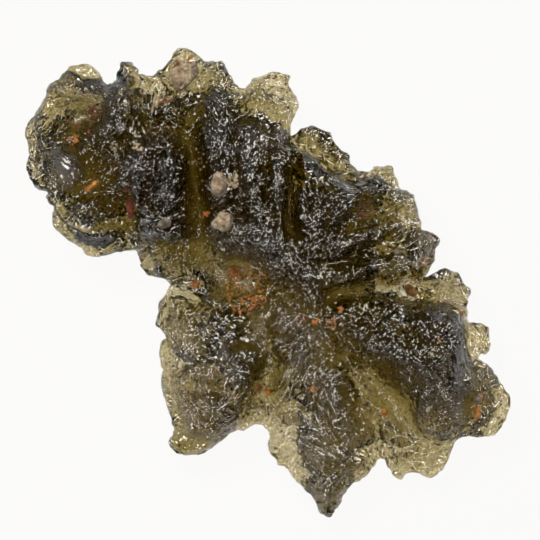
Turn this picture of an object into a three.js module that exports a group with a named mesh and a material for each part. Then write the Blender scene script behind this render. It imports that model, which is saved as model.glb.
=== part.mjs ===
// A moldavite: one natural piece of green tektite glass, deeply etched into teeth, flanges, ridges and
// grooves, lying on its underside, with the sand and clay grains that are still lodged in its pits.
// Millimetres, +Z up. The origin is on the ground, under the middle of the stone's box.

import * as THREE from 'three';
import { ImprovedNoise } from 'three/addons/math/ImprovedNoise.js';
import { mergeVertices } from 'three/addons/utils/BufferGeometryUtils.js';

// ---------------------------------------------------------------------------------------------------
// Driving dimensions, in millimetres
// ---------------------------------------------------------------------------------------------------

const STONE_LENGTH = 40.6;
const EDGE_THICKNESS = 0.42;
const FLANGE_THICKNESS = 1.15;
const BODY_THICKNESS_MIN = 1.3;
const RIM_STEP = 0.6;
const UPPER_STEP = 0.56;
const LOWER_STEP = 0.74;
const CONTROL_STEP = 1.2;
const CONTROL_ROOM = { edge: 1.08, features: 0.25, flange: 0.96 };
const CORNER_ROOM = { flats: 0.4, features: 0.62, fill: 0.78 };
const MARK_REACH = 0.47;
const RIM_CLEARANCE = 0.4;
const RIDGE_ROUNDING = 0.18;
const WARP = { height: 0.42, width: 1.7 };
const LUMP = { height: 0.42, width: 2.1 };
const FINE_LUMP = { height: 0.16, width: 0.95 };
const UNDER_LUMP = { height: 0.85, width: 3.1 };
const UNDER_GROOVE = { depth: 0.95, width: 1.7, spacing: 4.1 };
const PIT = { depth: 0.6, width: 1.6, spacing: 2.3 };
const UNDER_PIT = { depth: 0.7, width: 2.3, spacing: 3.1 };
const UNDER_SWELL = 0.3;
const FOOT_RADIUS = 0.95;
const FOOT_FLAT = 0.855;
const FOOT_BLEND = 1.9;
const GROUND_CLEARANCE = 0.14;
const SEAT_DEPTH = 0.3;
const SEAT_GAP = 0.3;
const SEAT_MARGIN = 0.22;
const SEAT_REACH = 1.15;
const SEAT_BLEND = 1.9;
const ROUGH_BAND = { from: 0.1, to: 1.5 };
const THICK_BAND = 1.4;

// Shares: of a smooth stretch's radius that is wholly smooth, of the flange that has to stay clear of
// the rim, and of a net's step by which its fill points are shifted.
const SMOOTH_CORE = 0.6;
const FLANGE_CLEAR = 0.8;
const FILL_SHIFT = 0.35;

// Shares of the stone's length: how far the net's fill points reach from the middle, and how far away
// the three corners lie that hold the net while it is made.
const FILL_REACH = 0.55;
const FAR_CORNER = 50;

// A grain is a ball swollen by noise, in shares of its size, and cut flat below its middle at base.
const GRAIN_SHAPE = { swell: 0.25, coarseness: 4, apart: 3.7, base: 0.22 };

// A pit lies up to scatter cells off the middle of its own cell, and is up to spread larger or smaller.
const PIT_SCATTER = 0.7;
const PIT_SPREAD = 0.5;

// Depths at which the noise is read, so that no two textures follow each other.
const LAYER = {
  lump: 0.5, pit: 2.5, fineLump: 5.5, underLump: 11.5, underPit: 14.5, underGroove: 17.5,
  fillEast: 21.5, fillNorth: 27.5, warpEast: 31.5, warpNorth: 37.5, pitNorth: 9.5, pitSize: 4.5,
};

// Steps of column and row that take neighbouring cells to unrelated places in the noise.
const HASH = {
  pitEast: [7.31, 3.17], pitNorth: [4.73, 6.59], pitSize: [2.93, 8.37],
  fillEast: [3.7, 2.9], fillNorth: [2.3, 4.1],
};

// ---------------------------------------------------------------------------------------------------
// Plan of the stone, on a drawing grid of squares: x to the east, y to the south.
// The grid is scaled so that the outline is STONE_LENGTH long from its west tip to its east tip.
// ---------------------------------------------------------------------------------------------------

// The outline, clockwise on the plan, in named stretches of [x, y].
const OUTLINE = {
  headTip: [
    [25, 134], [30, 123], [35.5, 116], [44, 102.5], [49.3, 89], [54, 83], [60, 80.2], [65.5, 75.5],
    [71, 67.5], [89.5, 64.3], [99, 73], [100.8, 78.5],
  ],
  toothNotch: [
    [107.5, 88.6], [111, 87.2], [115.5, 83], [118, 79],
  ],
  tower: [
    [119.2, 73], [121.2, 68], [121.2, 63.5], [124.5, 61.3], [128, 63.8], [132, 62.6], [134, 68],
    [138, 70.4], [138.8, 76.5],
  ],
  northFlange: [
    [142.8, 74], [146.5, 77], [150, 78.5], [160, 70.6], [165, 69.9], [168, 63.6], [172.3, 58.8],
    [178, 49], [181, 48.2], [191, 51.3], [196, 54.6], [204, 62], [212.3, 63.4], [222, 62.1],
    [225.3, 65.6], [227, 70], [227.4, 76.5],
  ],
  northNotch: [
    [231.7, 80], [234.4, 81.8], [240.3, 91.6], [245, 92.2],
  ],
  northTooth: [
    [254.6, 78.3], [262.6, 77.5], [272, 74.5], [281.3, 73], [285.8, 75.2], [289, 78], [286.8, 87],
    [290.4, 90.4], [295.8, 98.3], [296.9, 110.4], [292.7, 114.6], [291, 120.5], [290.6, 125.6],
    [288.2, 132],
  ],
  fanFlange: [
    [289.6, 136.8], [294.8, 135.9], [305.3, 127.9], [310.9, 126.4], [325.2, 131.7], [331, 132.5],
    [331, 138.4], [333, 144.5], [338.2, 147.2], [346.8, 153.8], [349, 158.6], [350.3, 166],
    [356.3, 169.1],
  ],
  fanTooth: [
    [360, 174], [390.8, 164.9], [393.4, 168.8], [396, 182], [398.4, 188.4], [409.6, 194],
    [412.4, 199.4], [416.4, 209], [419.2, 221.6], [421.3, 224],
  ],
  eastTooth: [
    [419, 226.2], [418.8, 230], [430, 233], [439, 240.5], [438.3, 244.4], [434, 249.4], [433, 260.5],
    [429.2, 264], [429.3, 270.3],
  ],
  eastFlange: [
    [421.3, 278.5], [426, 277.9], [436.2, 272.1], [441, 270.4], [446.4, 269.5], [451.8, 271.4],
    [456.6, 272], [470.9, 293.2], [467.8, 295.9], [466, 300.8], [467.3, 321.5],
  ],
  smallEastFlange: [
    [469.8, 324], [476, 322.5], [480.8, 323.5], [490.1, 330.2], [489.2, 336.6], [490.1, 343],
    [489.6, 349], [485.5, 354.2], [482, 352.4], [479.6, 354],
  ],
  southEastFlange: [
    [478, 359.5], [487, 364.5], [503.6, 385], [505.6, 390], [509.8, 395.6], [511.7, 402], [508, 416],
    [497.8, 432], [493, 436.4], [478, 435.6], [470, 436.1], [457.8, 439.2],
  ],
  southFlange: [
    [454.6, 442.4], [447.7, 465.5], [445, 466.2], [442, 470.7], [435, 478], [424, 477.8], [420, 474.4],
    [411, 470.6], [403, 479], [400, 480.6], [396, 478],
  ],
  blade: [
    [382, 455], [376, 459.7], [370, 469.8], [362.3, 479.8], [351.2, 484], [347, 488.6], [336.4, 506],
    [331.9, 517],
  ],
  bladeWest: [
    [328.4, 518], [323.5, 516.2], [320.3, 513.4], [312.5, 494.7], [309.7, 495.8], [307.2, 491.5],
    [297, 480.4], [290.5, 474.7], [286, 468.2], [282.7, 465], [278.9, 463.4], [277.5, 457.7],
    [271, 452.2], [269.4, 445.8], [270, 434],
  ],
  southBay: [
    [268.4, 429.4], [256, 422.6], [252, 423.1], [245, 429.6], [240.4, 430.8], [236, 429.9],
    [231.4, 431.3], [226.6, 434.3],
  ],
  lowTooth: [
    [224.2, 439.1], [208.2, 452], [202, 453.8], [195, 455], [189, 455], [184, 456.4], [167.8, 446.2],
  ],
  westEdge: [
    [172.6, 438.8], [174, 434], [174.2, 427.6], [172, 420.4], [166.8, 408.6], [160, 379],
    [161.2, 374.3], [164, 370], [159, 359.3], [160.7, 353.8], [162, 342.6], [166.6, 341],
    [168.6, 338.2], [165.8, 333.8], [157, 324.2], [156, 321], [159.6, 309.8], [158.6, 306],
    [160.3, 299.4], [164, 296],
  ],
  westShelf: [
    [171.8, 286], [171, 282.4], [165, 277.8], [145.2, 274], [140.6, 257.3], [138.4, 252.2],
  ],
  headUnder: [
    [135.3, 248.6], [124, 250], [115.5, 252.7], [111, 253.2], [107.3, 255.8], [93, 257], [89.7, 255.5],
    [82.5, 249.4], [80.4, 245.6], [70.8, 242.2], [63, 236.6], [60.5, 231.8], [56.9, 228.4], [52, 225.6],
  ],
  headNose: [
    [50.6, 221.3], [52.2, 216], [55.9, 211.5], [55.5, 208], [51.5, 206], [49.4, 201.6], [47, 198.8],
    [49.6, 190], [45.3, 190.5], [37, 187], [33.4, 183], [32.2, 178.8], [27.5, 174.5], [27.5, 169.6],
    [31.2, 150],
  ],
};

// Points along the rim: [x, y, level of the edge in mm, width of the thin flange behind it in mm].
const RIM = [
  [27, 150, 4.9, 0.8], [45, 100, 5.2, 0.9], [85, 66, 5.6, 0.8], [107, 88, 5.6, 0.4],
  [127, 64, 6.4, 0.5], [150, 78, 4.9, 2], [180, 50, 4.9, 3.2], [222, 64, 5, 3], [243, 92, 5.6, 1.2],
  [283, 76, 5.6, 2], [292, 120, 5.2, 1.6], [290, 137, 4.4, 1.5], [312, 128, 4.2, 3.6],
  [349, 160, 4.3, 3.4], [360, 174, 4.6, 1], [391, 167, 5.4, 1.6], [412, 200, 5.1, 1.2],
  [419, 225, 4.8, 0.8], [438, 242, 4.6, 0.6], [431, 263, 4.2, 0.3], [421, 278, 3.5, 0.6],
  [446, 270, 3, 3.2], [470, 292, 2.9, 2.2], [466, 312, 3, 1], [489, 332, 2.7, 3], [480, 356, 2.9, 2],
  [500, 380, 2.7, 1.6], [511, 402, 2.4, 2.6], [494, 435, 2.4, 2.4], [458, 438, 3, 1],
  [448, 463, 2.5, 1.4], [430, 478, 2.3, 3.4], [400, 480, 2, 3.6], [382, 455, 2.9, 1.6],
  [362, 480, 3, 0.3], [343, 494, 2.8, 0.4], [328, 518, 2.5, 1.8], [305, 490, 2.8, 0.8],
  [283, 465, 2.9, 1.6], [269, 440, 3, 2], [256, 423, 3.1, 1.6], [240, 430, 3.1, 0.8],
  [210, 450, 2.5, 0.8], [184, 456, 2.3, 0.8], [168, 446, 2.3, 1], [173, 425, 2.4, 1.8],
  [162, 386, 2.5, 2.2], [160, 352, 2.7, 2.2], [157, 321, 3.2, 1], [171, 285, 3.6, 1.2],
  [145, 274, 4, 1], [136, 249, 4.3, 0.4], [95, 257, 4.1, 1], [60, 232, 4.3, 0.8], [50, 218, 4.4, 1.4],
  [48, 198, 4.6, 1.2], [28, 172, 4.7, 1],
];

// Ridges, cliffs, grooves and hollows of the upper side: [x, y, level in mm].
const UPPER = {
  toothFacet: [[71, 73, 5.9], [80, 76, 6.4], [90, 77, 6.5], [99, 79, 6.2]],
  westShoulder: [[36, 128, 6], [43, 114, 6.3], [51, 99, 6.5], [60, 89, 6.7], [72, 84, 7], [86, 86, 7.3]],
  westHollow: [[68, 108, 5.6], [80, 112, 5], [92, 118, 4.8], [90, 128, 5.2]],
  bridge: [[88, 90, 7.5], [100, 94, 7.9], [112, 96, 8.3], [122, 94, 8.5]],
  tower: [
    [127, 70, 6.9], [128, 80, 7.6], [128, 92, 8.3], [126, 108, 8.6], [124, 122, 8.8], [124, 138, 8.6],
    [117, 147, 8.3],
  ],
  towerFoot: [[139, 80, 5.3], [140, 95, 5.5], [142, 108, 5.6], [148, 121, 5.8]],
  westCrease: [
    [32, 131, 5.2], [45, 131, 5.9], [60, 132, 6.3], [72, 138, 6.4], [84, 143, 6.6], [96, 146, 7],
  ],
  fin: [[48, 137, 6.6], [57, 141, 7.3], [66, 150, 7.9], [76, 158, 8.2], [81, 167, 8.1], [83, 182, 7.5]],
  finFoot: [[44, 150, 5.6], [43, 165, 5.4], [49, 180, 5.2], [60, 189, 5.2]],
  finBack: [[86, 150, 7], [92, 160, 6.2], [90, 172, 5.8]],
  midWest: [[100, 130, 7.2], [104, 150, 7.4], [108, 160, 7.2]],
  orangeGroove: [
    [62, 201, 4.9], [74, 198, 5], [86, 191, 5], [97, 183, 5.1], [108, 176, 5.6], [117, 168, 6.2],
  ],
  southWestRidge: [[72, 213, 5.9], [86, 206, 6.6], [98, 199, 7.2], [110, 194, 7.5], [122, 190, 7.4]],
  southPit: [[88, 213, 5.6], [100, 216, 5.8], [108, 222, 6]],
  southLip: [
    [60, 230, 4.9], [72, 232, 5.7], [84, 238, 6], [99, 236, 6.3], [111, 231, 6.7], [124, 229, 6.4],
  ],
  southLedge: [[86, 247, 4.7], [105, 246, 5], [126, 242, 5.1]],
  redGroove: [[120, 199, 6.4], [127, 203, 5.6], [132, 211, 5.2], [135, 222, 5.2], [138, 233, 5.2]],
  bossLeft: [
    [124, 172, 7.8], [131, 164, 8.7], [138, 172, 9.5], [142, 183, 10.2], [141, 196, 10.4],
    [140, 208, 10.4], [144, 220, 10.3], [147, 229, 10.2],
  ],
  bossBottom: [[147, 229, 10.2], [156, 231, 10.3], [168, 232, 10.4], [178, 233, 9.9], [188, 232, 8.7]],
  bossTop: [[131, 164, 8.7], [142, 157, 9.4], [152, 151, 9.8], [163, 147, 10], [172, 147, 9.6]],
  bossCrest: [[172, 160, 10.9], [170, 176, 11.2], [169, 195, 11.1], [168, 215, 10.9], [168, 232, 10.4]],
  bossFace: [[150, 176, 9.7], [153, 192, 9.6], [155, 208, 9.6], [156, 220, 9.8]],
  bossNotch: [[148, 162, 8.9], [160, 158, 9.2]],
  bossRight: [[183, 160, 9], [184, 180, 9.2], [185, 200, 9], [187, 218, 8.6]],
  behindBoss: [[134, 150, 7.6], [148, 142, 7.2], [163, 136, 6.8], [176, 130, 6]],
  bossFoot: [[140, 241, 5.2], [152, 241, 4.7], [166, 242, 4.5], [182, 242, 4.2], [196, 244, 3.9]],
  groove: [
    [183, 108, 5.4], [187, 124, 5.2], [190, 142, 5], [192, 162, 4.9], [195, 184, 4.9], [198, 204, 4.8],
    [202, 222, 4.6], [207, 238, 4.1],
  ],
  topFlange: [
    [148, 92, 5.5], [160, 84, 5.7], [172, 76, 5.6], [186, 66, 5.5], [205, 72, 5.5], [217, 76, 5.6],
  ],
  topFlangeRoot: [[150, 104, 5.7], [164, 98, 6], [178, 100, 5.8], [192, 94, 5.3], [204, 92, 5.2]],
  brownShelf: [[160, 118, 6], [172, 114, 6], [181, 120, 5.2]],
  shoulder: [
    [224, 82, 5.8], [218, 94, 7.2], [212, 107, 8.2], [207, 122, 8.7], [204, 140, 8.9], [205, 160, 9],
    [207, 178, 8.8], [209, 198, 8.5], [211, 218, 8.1], [214, 232, 7.6],
  ],
  ledgeLip: [[222, 96, 7.5], [230, 101, 7.8], [240, 100, 7.7], [250, 95, 7.2], [258, 89, 6.7]],
  ledgeFoot: [[229, 90, 5.9], [238, 94, 6], [247, 92, 6.1]],
  window: [[231, 110, 6.6], [233, 122, 6.8], [240, 114, 6.4]],
  olivePatch: [[250, 116, 6.3], [260, 110, 6.1], [270, 118, 6.1], [263, 127, 6.5]],
  northTooth: [[268, 88, 6.2], [282, 92, 6], [284, 108, 6], [280, 124, 6.2]],
  plateau1: [
    [222, 134, 9.3], [220, 156, 9.7], [223, 182, 9.6], [226, 206, 9.3], [228, 228, 8.6],
    [230, 246, 7.6],
  ],
  plateauV: [[233, 132, 8.5], [233, 160, 8.7], [236, 186, 8.7], [240, 214, 8.5]],
  plateau2: [
    [246, 134, 8.7], [242, 152, 9.5], [245, 176, 9.8], [250, 200, 9.8], [255, 224, 9.5],
    [258, 244, 8.9],
  ],
  plateauV2: [[262, 138, 7.6], [264, 162, 8.4], [267, 194, 8.7], [268, 224, 8.7]],
  plateau3: [
    [280, 140, 7.2], [283, 153, 9], [282, 172, 9.7], [281, 194, 9.9], [280, 218, 9.8], [280, 242, 9.3],
  ],
  band: [[291, 164, 7.8], [291, 178, 7], [290, 200, 6.6], [291, 220, 6.6], [295, 236, 7.4]],
  cliffTop: [
    [284, 153, 9], [294, 155, 9.1], [303, 156, 9.3], [312, 164, 9.3], [322, 173, 9.1], [334, 183, 8.7],
    [346, 191, 8.3],
  ],
  cliffFoot: [
    [288, 147, 4.8], [298, 151, 4.9], [308, 154, 5], [319, 162, 5.1], [331, 172, 5.2], [342, 181, 5.3],
    [350, 186, 5.7],
  ],
  flange: [[304, 139, 4.8], [320, 141, 4.8], [334, 154, 4.9], [345, 168, 5]],
  ridge4: [[303, 158, 9.3], [302, 180, 9.4], [301, 205, 9.3], [302, 232, 9.2]],
  fan1: [[314, 166, 9.2], [317, 188, 9.3], [317, 210, 9], [312, 238, 9.2]],
  fanV: [[310, 185, 8.4], [310, 210, 8.3], [308, 228, 8.6]],
  fanV2: [[325, 190, 8.1], [324, 208, 8], [318, 226, 8.4]],
  fan2: [[336, 185, 8.7], [333, 202, 8.7], [327, 220, 8.7], [318, 240, 9]],
  crest1: [
    [318, 240, 9], [333, 222, 9.2], [346, 206, 9.3], [358, 193, 8.8], [371, 183, 7.8], [384, 176, 6.5],
  ],
  crest1Foot: [[352, 182, 6], [362, 180, 5.8], [374, 174, 5.8]],
  knuckle: [[376, 192, 7.8], [388, 196, 7.5], [398, 204, 6.9], [408, 212, 6.2]],
  valley1: [[338, 230, 7.6], [352, 218, 6.6], [366, 213, 5.8], [382, 214, 5.5], [397, 218, 5.5]],
  crest2: [
    [300, 258, 8.9], [316, 256, 9], [333, 252, 9.1], [350, 243, 9.3], [366, 236, 9.1], [381, 229, 8.5],
    [393, 225, 7.5], [406, 222, 6.4],
  ],
  valley2: [
    [322, 268, 7.8], [342, 260, 7.5], [360, 252, 7.3], [378, 246, 7.1], [392, 244, 6.8],
    [406, 238, 6.2],
  ],
  crest3: [
    [320, 280, 8.2], [335, 277, 8.6], [348, 272, 9], [360, 268, 9.3], [372, 263, 9.3], [384, 259, 9.1],
    [400, 258, 8.7], [412, 263, 7.7], [420, 268, 6.4],
  ],
  eastTip: [[416, 242, 6.8], [426, 243, 6.1], [429, 252, 5.6]],
  brow: [
    [318, 291, 8], [335, 284, 8.1], [352, 280, 8.3], [370, 278, 8.3], [388, 277, 8.1], [403, 277, 7.4],
    [414, 275, 6.2],
  ],
  browFoot: [
    [330, 295, 5.6], [342, 291, 5], [356, 291, 4.6], [372, 292, 4.3], [388, 292, 4.1], [402, 290, 3.9],
    [413, 285, 3.8],
  ],
  saddle: [
    [258, 244, 8.9], [268, 257, 8.6], [280, 269, 8.5], [292, 281, 8.3], [305, 291, 8.1],
    [318, 300, 7.9], [330, 310, 7.7],
  ],
  saddleFoot: [
    [236, 258, 4.8], [248, 264, 4.9], [259, 272, 5.2], [270, 283, 5.4], [283, 293, 5.5],
    [298, 303, 5.7], [314, 316, 6],
  ],
  massFoot: [[209, 244, 3.5], [216, 253, 3.7], [225, 260, 3.9], [236, 262, 4.2]],
  massEdge: [[214, 236, 7.4], [222, 247, 7.3], [230, 253, 7.2], [240, 254, 7.4], [250, 250, 8.2]],
  back1: [
    [330, 310, 7.7], [346, 320, 7.9], [362, 332, 8.1], [380, 342, 8.3], [398, 352, 8.3],
    [415, 365, 8.1], [430, 380, 7.7], [442, 397, 6.9], [450, 414, 5.9],
  ],
  back2: [
    [345, 302, 6.6], [365, 305, 7.1], [385, 308, 7.6], [405, 313, 8], [424, 316, 8.3], [440, 321, 8.5],
    [453, 328, 8.7],
  ],
  backV: [[360, 318, 7.1], [382, 326, 7.4], [402, 333, 7.5], [420, 341, 7.6], [434, 352, 7.7]],
  cliffEast: [
    [453, 314, 7.6], [454, 328, 8.8], [455, 344, 9], [455, 360, 8.8], [454, 376, 8.2], [458, 388, 7.2],
    [464, 399, 5.8],
  ],
  cliffEastFoot: [
    [461, 318, 4.2], [460, 330, 4.4], [464, 346, 4.3], [469, 362, 4.2], [472, 378, 4.2],
    [476, 392, 4.3],
  ],
  eastShelf: [[425, 311, 7.2], [440, 311, 7.4], [452, 313, 7.5]],
  eastShelfFoot: [[418, 299, 4], [432, 304, 4.2], [446, 306, 4.4], [457, 309, 4.4]],
  backFoot: [
    [335, 335, 6.2], [352, 346, 5.8], [368, 359, 5.3], [384, 373, 4.8], [397, 389, 4.2],
    [406, 405, 3.9], [413, 420, 4],
  ],
  southEastRidge: [[420, 395, 6.6], [425, 410, 6.2], [432, 422, 5.4], [440, 432, 4.6]],
  southEastV: [[438, 408, 5.8], [446, 420, 4.8], [452, 432, 4]],
  windowFloor: [
    [352, 372, 4.4], [366, 380, 3.8], [378, 390, 3.2], [390, 402, 3], [400, 414, 3], [408, 424, 3.2],
  ],
  windowLedge: [[358, 398, 4.3], [368, 405, 4.2], [377, 413, 4.1], [388, 424, 3.9], [395, 434, 3.8]],
  windowSouth: [[372, 425, 3.4], [378, 440, 3.4], [384, 448, 3.4]],
  blade1: [
    [298, 336, 6.6], [302, 352, 7], [307, 368, 7], [316, 384, 7], [328, 398, 6.9], [338, 412, 6.7],
    [347, 427, 6.3], [352, 440, 5.7], [358, 455, 5.2], [362, 468, 4.7],
  ],
  bladeV: [[318, 352, 5.9], [335, 368, 5.7], [346, 388, 5.4], [356, 410, 4.8], [364, 430, 4.4]],
  blade2: [
    [285, 385, 5.6], [300, 402, 5.6], [310, 422, 5.7], [318, 440, 5.8], [325, 456, 5.7],
    [330, 472, 5.5], [333, 487, 5.1], [330, 502, 4],
  ],
  bladeV2: [[292, 372, 5.2], [308, 390, 5.6], [324, 420, 5.4], [338, 445, 5.2], [345, 465, 4.9]],
  westFlank: [[272, 404, 4.1], [280, 420, 3.9], [288, 440, 3.7], [296, 460, 3.7], [306, 478, 3.7]],
  leftCrest: [
    [205, 293, 4.8], [214, 304, 5.8], [224, 318, 6.6], [226, 334, 6.9], [232, 350, 7.1],
    [240, 364, 7.1], [247, 377, 6.9], [241, 394, 6.7], [233, 408, 6.3], [226, 422, 5.6],
  ],
  leftHollow: [[238, 336, 5.9], [250, 342, 5.7], [258, 352, 5.8]],
  leftMid: [
    [200, 315, 5.5], [204, 335, 5.8], [206, 356, 6], [208, 378, 6.1], [210, 398, 6], [212, 418, 5.6],
  ],
  leftMidV: [[216, 345, 5.9], [220, 368, 5.8], [223, 390, 5.7]],
  leftLow: [
    [180, 308, 4.6], [177, 328, 4.6], [184, 350, 4.7], [189, 370, 5], [189, 392, 5], [191, 412, 5],
    [196, 430, 4.7],
  ],
  leftStep: [[181, 378, 4.7], [178, 389, 4.7], [180, 400, 4.7], [184, 412, 4.6], [187, 425, 4.3]],
  leftStepFoot: [[174, 377, 3.3], [172, 389, 3.2], [174, 402, 3.1], [178, 414, 3], [181, 427, 3]],
  lowTooth: [[172, 441, 3], [184, 440, 3.6], [199, 442, 3.7], [211, 440, 3.6]],
  lowToothBack: [[205, 430, 4.7], [218, 428, 4.9]],
  hollow: [[262, 362, 4.8], [270, 368, 4], [274, 377, 3.9]],
  centreV: [
    [250, 300, 5], [262, 318, 5.3], [264, 338, 5.2], [258, 372, 4.8], [258, 392, 4.3], [262, 408, 3.9],
  ],
  centreRise: [[272, 300, 5.9], [284, 318, 6.2], [288, 345, 6.2], [282, 365, 5.6]],
  shelf: [[150, 251, 5.1], [166, 254, 5.3], [182, 252, 5.1], [196, 256, 4.7]],
  shelfCrease: [[150, 266, 4.7], [166, 264, 4.4], [182, 268, 4.3], [198, 270, 4.1]],
  shelfSouth: [[160, 271, 4.7], [176, 275, 4.6], [192, 278, 4.5]],
  yellow: [
    [212, 263, 3.9], [226, 270, 3.9], [240, 276, 4.1], [236, 290, 4.2], [222, 284, 4.1],
    [208, 282, 4.2],
  ],
  eastFlange: [[430, 285, 3.7], [444, 281, 3.6], [454, 288, 3.7], [442, 295, 3.7], [428, 293, 3.6]],
  eastFlange2: [[470, 334, 3.5], [480, 338, 3.3], [471, 350, 3.6]],
  eastFlange3: [[478, 372, 4.2], [485, 385, 4.1], [487, 400, 3.9], [484, 414, 3.8], [478, 426, 3.6]],
  crescent: [[494, 386, 3.1], [493, 400, 3], [491, 414, 3], [485, 428, 2.9]],
  southEast: [[466, 410, 4.5], [463, 424, 4.2], [458, 432, 3.8]],
  southFlange: [
    [398, 440, 3.3], [396, 455, 3.1], [398, 466, 2.9], [415, 452, 3.1], [430, 456, 3], [428, 440, 3.6],
    [441, 446, 3.3],
  ],
};

// Keels, hollows and flange undersides of the lower side: [x, y, level in mm].
const LOWER = {
  headKeel: [[62, 128, 2.3], [86, 150, 0.9], [112, 160, 0], [100, 192, 0.6], [82, 216, 1]],
  headHollow: [[82, 108, 0.9], [108, 122, 0.9], [124, 112, 1.5], [128, 86, 3.5]],
  headFlank: [[45, 160, 2.3], [62, 200, 1.6], [110, 224, 1.2], [104, 244, 2]],
  bossKeel: [[140, 180, 0.6], [162, 190, 0.4], [165, 216, 0.9], [150, 232, 2.2]],
  grooveUnder: [[184, 112, 0.8], [189, 142, 0.4], [193, 168, 0.3], [199, 204, 0.3], [206, 236, 0.5]],
  northFlangeUnder: [[150, 92, 3.3], [180, 72, 3.7], [206, 75, 3.2], [218, 90, 2.9]],
  northRoot: [[180, 98, 2.3], [160, 120, 1], [205, 108, 1.8]],
  massKeel: [
    [230, 140, 1.5], [250, 172, 0.7], [282, 200, 0.3], [330, 215, 0], [362, 230, 0.7], [396, 242, 2.4],
  ],
  massHollow: [[262, 140, 2.3], [292, 166, 1.9], [232, 206, 1.6], [268, 238, 1.9], [318, 256, 1.7]],
  northToothUnder: [[268, 94, 4.1], [284, 108, 4], [268, 124, 3.6], [244, 116, 3.1]],
  fanFlangeUnder: [[306, 140, 2.4], [324, 144, 2.4], [338, 160, 2.3]],
  fanUnder: [[330, 184, 2], [376, 184, 3.7], [398, 198, 3.9], [408, 216, 3.8]],
  eastUnder: [[414, 244, 2.4], [427, 248, 3.3], [404, 272, 2], [352, 284, 1.5]],
  shelfUnder: [[152, 256, 1.3], [176, 262, 0.6], [196, 268, 0.6], [170, 278, 1.1]],
  waistUnder: [[214, 270, 0.8], [238, 284, 0.8], [268, 284, 1.1], [300, 296, 1], [328, 300, 1]],
  westUnder: [[174, 306, 1.5], [184, 340, 1.7], [170, 372, 1.7], [172, 402, 1.6], [176, 430, 1.2]],
  westKeel: [[208, 320, 1.3], [235, 345, 0], [212, 372, 1.3], [240, 392, 1.1], [214, 420, 0.9]],
  lowToothUnder: [[184, 448, 1.4], [204, 440, 1.5]],
  centreUnder: [[262, 330, 0.9], [290, 342, 0.7], [266, 378, 1.6], [258, 408, 2.1]],
  bladeKeel: [[300, 402, 1], [320, 440, 1], [330, 478, 0.8], [328, 504, 1.2]],
  bladeUnder: [[284, 440, 2], [304, 478, 2.2], [350, 462, 2.2]],
  windowUnder: [[362, 378, 1.3], [384, 400, 0.9], [402, 418, 0.8], [378, 440, 0.7], [352, 424, 1.2]],
  southFlangeUnder: [[400, 456, 1.4], [420, 460, 1.5], [440, 450, 1.5]],
  backKeel: [[380, 318, 0.9], [405, 350, 0], [432, 334, 0.6], [440, 366, 0.8], [432, 392, 1]],
  eastFlangeUnder: [[436, 288, 1.9], [454, 294, 2.1], [474, 340, 1.9], [482, 338, 2]],
  southEastUnder: [[476, 372, 1], [484, 398, 1], [480, 422, 1.2], [460, 426, 0.9]],
};

// The four low points that the stone rests on, each with a small flat worn on it: [x, y].
const FEET = [[112, 160], [330, 215], [405, 350], [235, 345]];

// Smooth, conchoidal stretches that the etching left without pits: [x, y, radius in mm].
const SMOOTH = [
  [68, 164, 1.6], [385, 392, 2.6], [440, 290, 1.9], [418, 458, 2.4], [192, 448, 1.6], [196, 170, 2],
];

// Grains lodged in the upper side. size: length, width and height in mm; turn: degrees from east.
const GRAINS = {
  sand_grain_north: { at: [184, 76], size: [2.9, 1.8, 1.2], turn: 53, color: 0xb79a7e },
  sand_grain_crest: { at: [219.5, 185], size: [1.85, 1.4, 1], turn: 84, color: 0xc2a283 },
  sand_grain_slope: { at: [224, 222], size: [1.7, 1.5, 0.95], turn: 30, color: 0xc7ac94 },
  sand_grain_boss: { at: [166, 224], size: [1.2, 0.85, 0.6], turn: 10, color: 0xc09c84 },
  sand_grain_east: { at: [477, 398], size: [0.95, 0.8, 0.55], turn: 40, color: 0xbd9a80 },
  clay_lens_head: { at: [92.5, 186.5], size: [1.5, 0.55, 0.45], turn: 35, color: 0xa8742f },
  clay_grain_head: { at: [130.5, 209], size: [1.5, 0.75, 0.55], turn: 100, color: 0x8f4420 },
  clay_grain_saddle: { at: [411, 290], size: [1.15, 0.9, 0.45], turn: 130, color: 0xb06a2a },
  clay_grain_east: { at: [478, 412], size: [1.2, 0.6, 0.5], turn: 80, color: 0xa65a24 },
};

// ---------------------------------------------------------------------------------------------------
// From drawing squares to millimetres
// ---------------------------------------------------------------------------------------------------

const outlineSquares = Object.values(OUTLINE).flat();
const planBox = new THREE.Box2().setFromPoints(outlineSquares.map(([x, y]) => new THREE.Vector2(x, y)));
const planCentre = planBox.getCenter(new THREE.Vector2());
const mmPerSquare = STONE_LENGTH / (planBox.max.x - planBox.min.x);

function place([x, y]) {
  return new THREE.Vector2((x - planCentre.x) * mmPerSquare, (planCentre.y - y) * mmPerSquare);
}

function placeWithLevel([x, y, level]) {
  return { ...place([x, y]), level };
}

function distance(a, b) {
  return Math.hypot(a.x - b.x, a.y - b.y);
}

// Extra points along an open or closed chain, so that no two neighbours are further apart than step.
function refine(chain, step, closed) {
  const refined = [];
  const last = closed ? chain.length : chain.length - 1;
  for (let i = 0; i < last; i++) {
    const from = chain[i];
    const to = chain[(i + 1) % chain.length];
    const parts = Math.ceil(distance(from, to) / step);
    for (let k = 0; k < parts; k++) {
      const t = k / parts;
      refined.push({
        x: THREE.MathUtils.lerp(from.x, to.x, t),
        y: THREE.MathUtils.lerp(from.y, to.y, t),
        level: THREE.MathUtils.lerp(from.level ?? 0, to.level ?? 0, t),
      });
    }
  }
  if (!closed) refined.push(chain[chain.length - 1]);
  return refined;
}

const outline = outlineSquares.map(place);
const rim = refine(outline, RIM_STEP, true);

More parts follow.
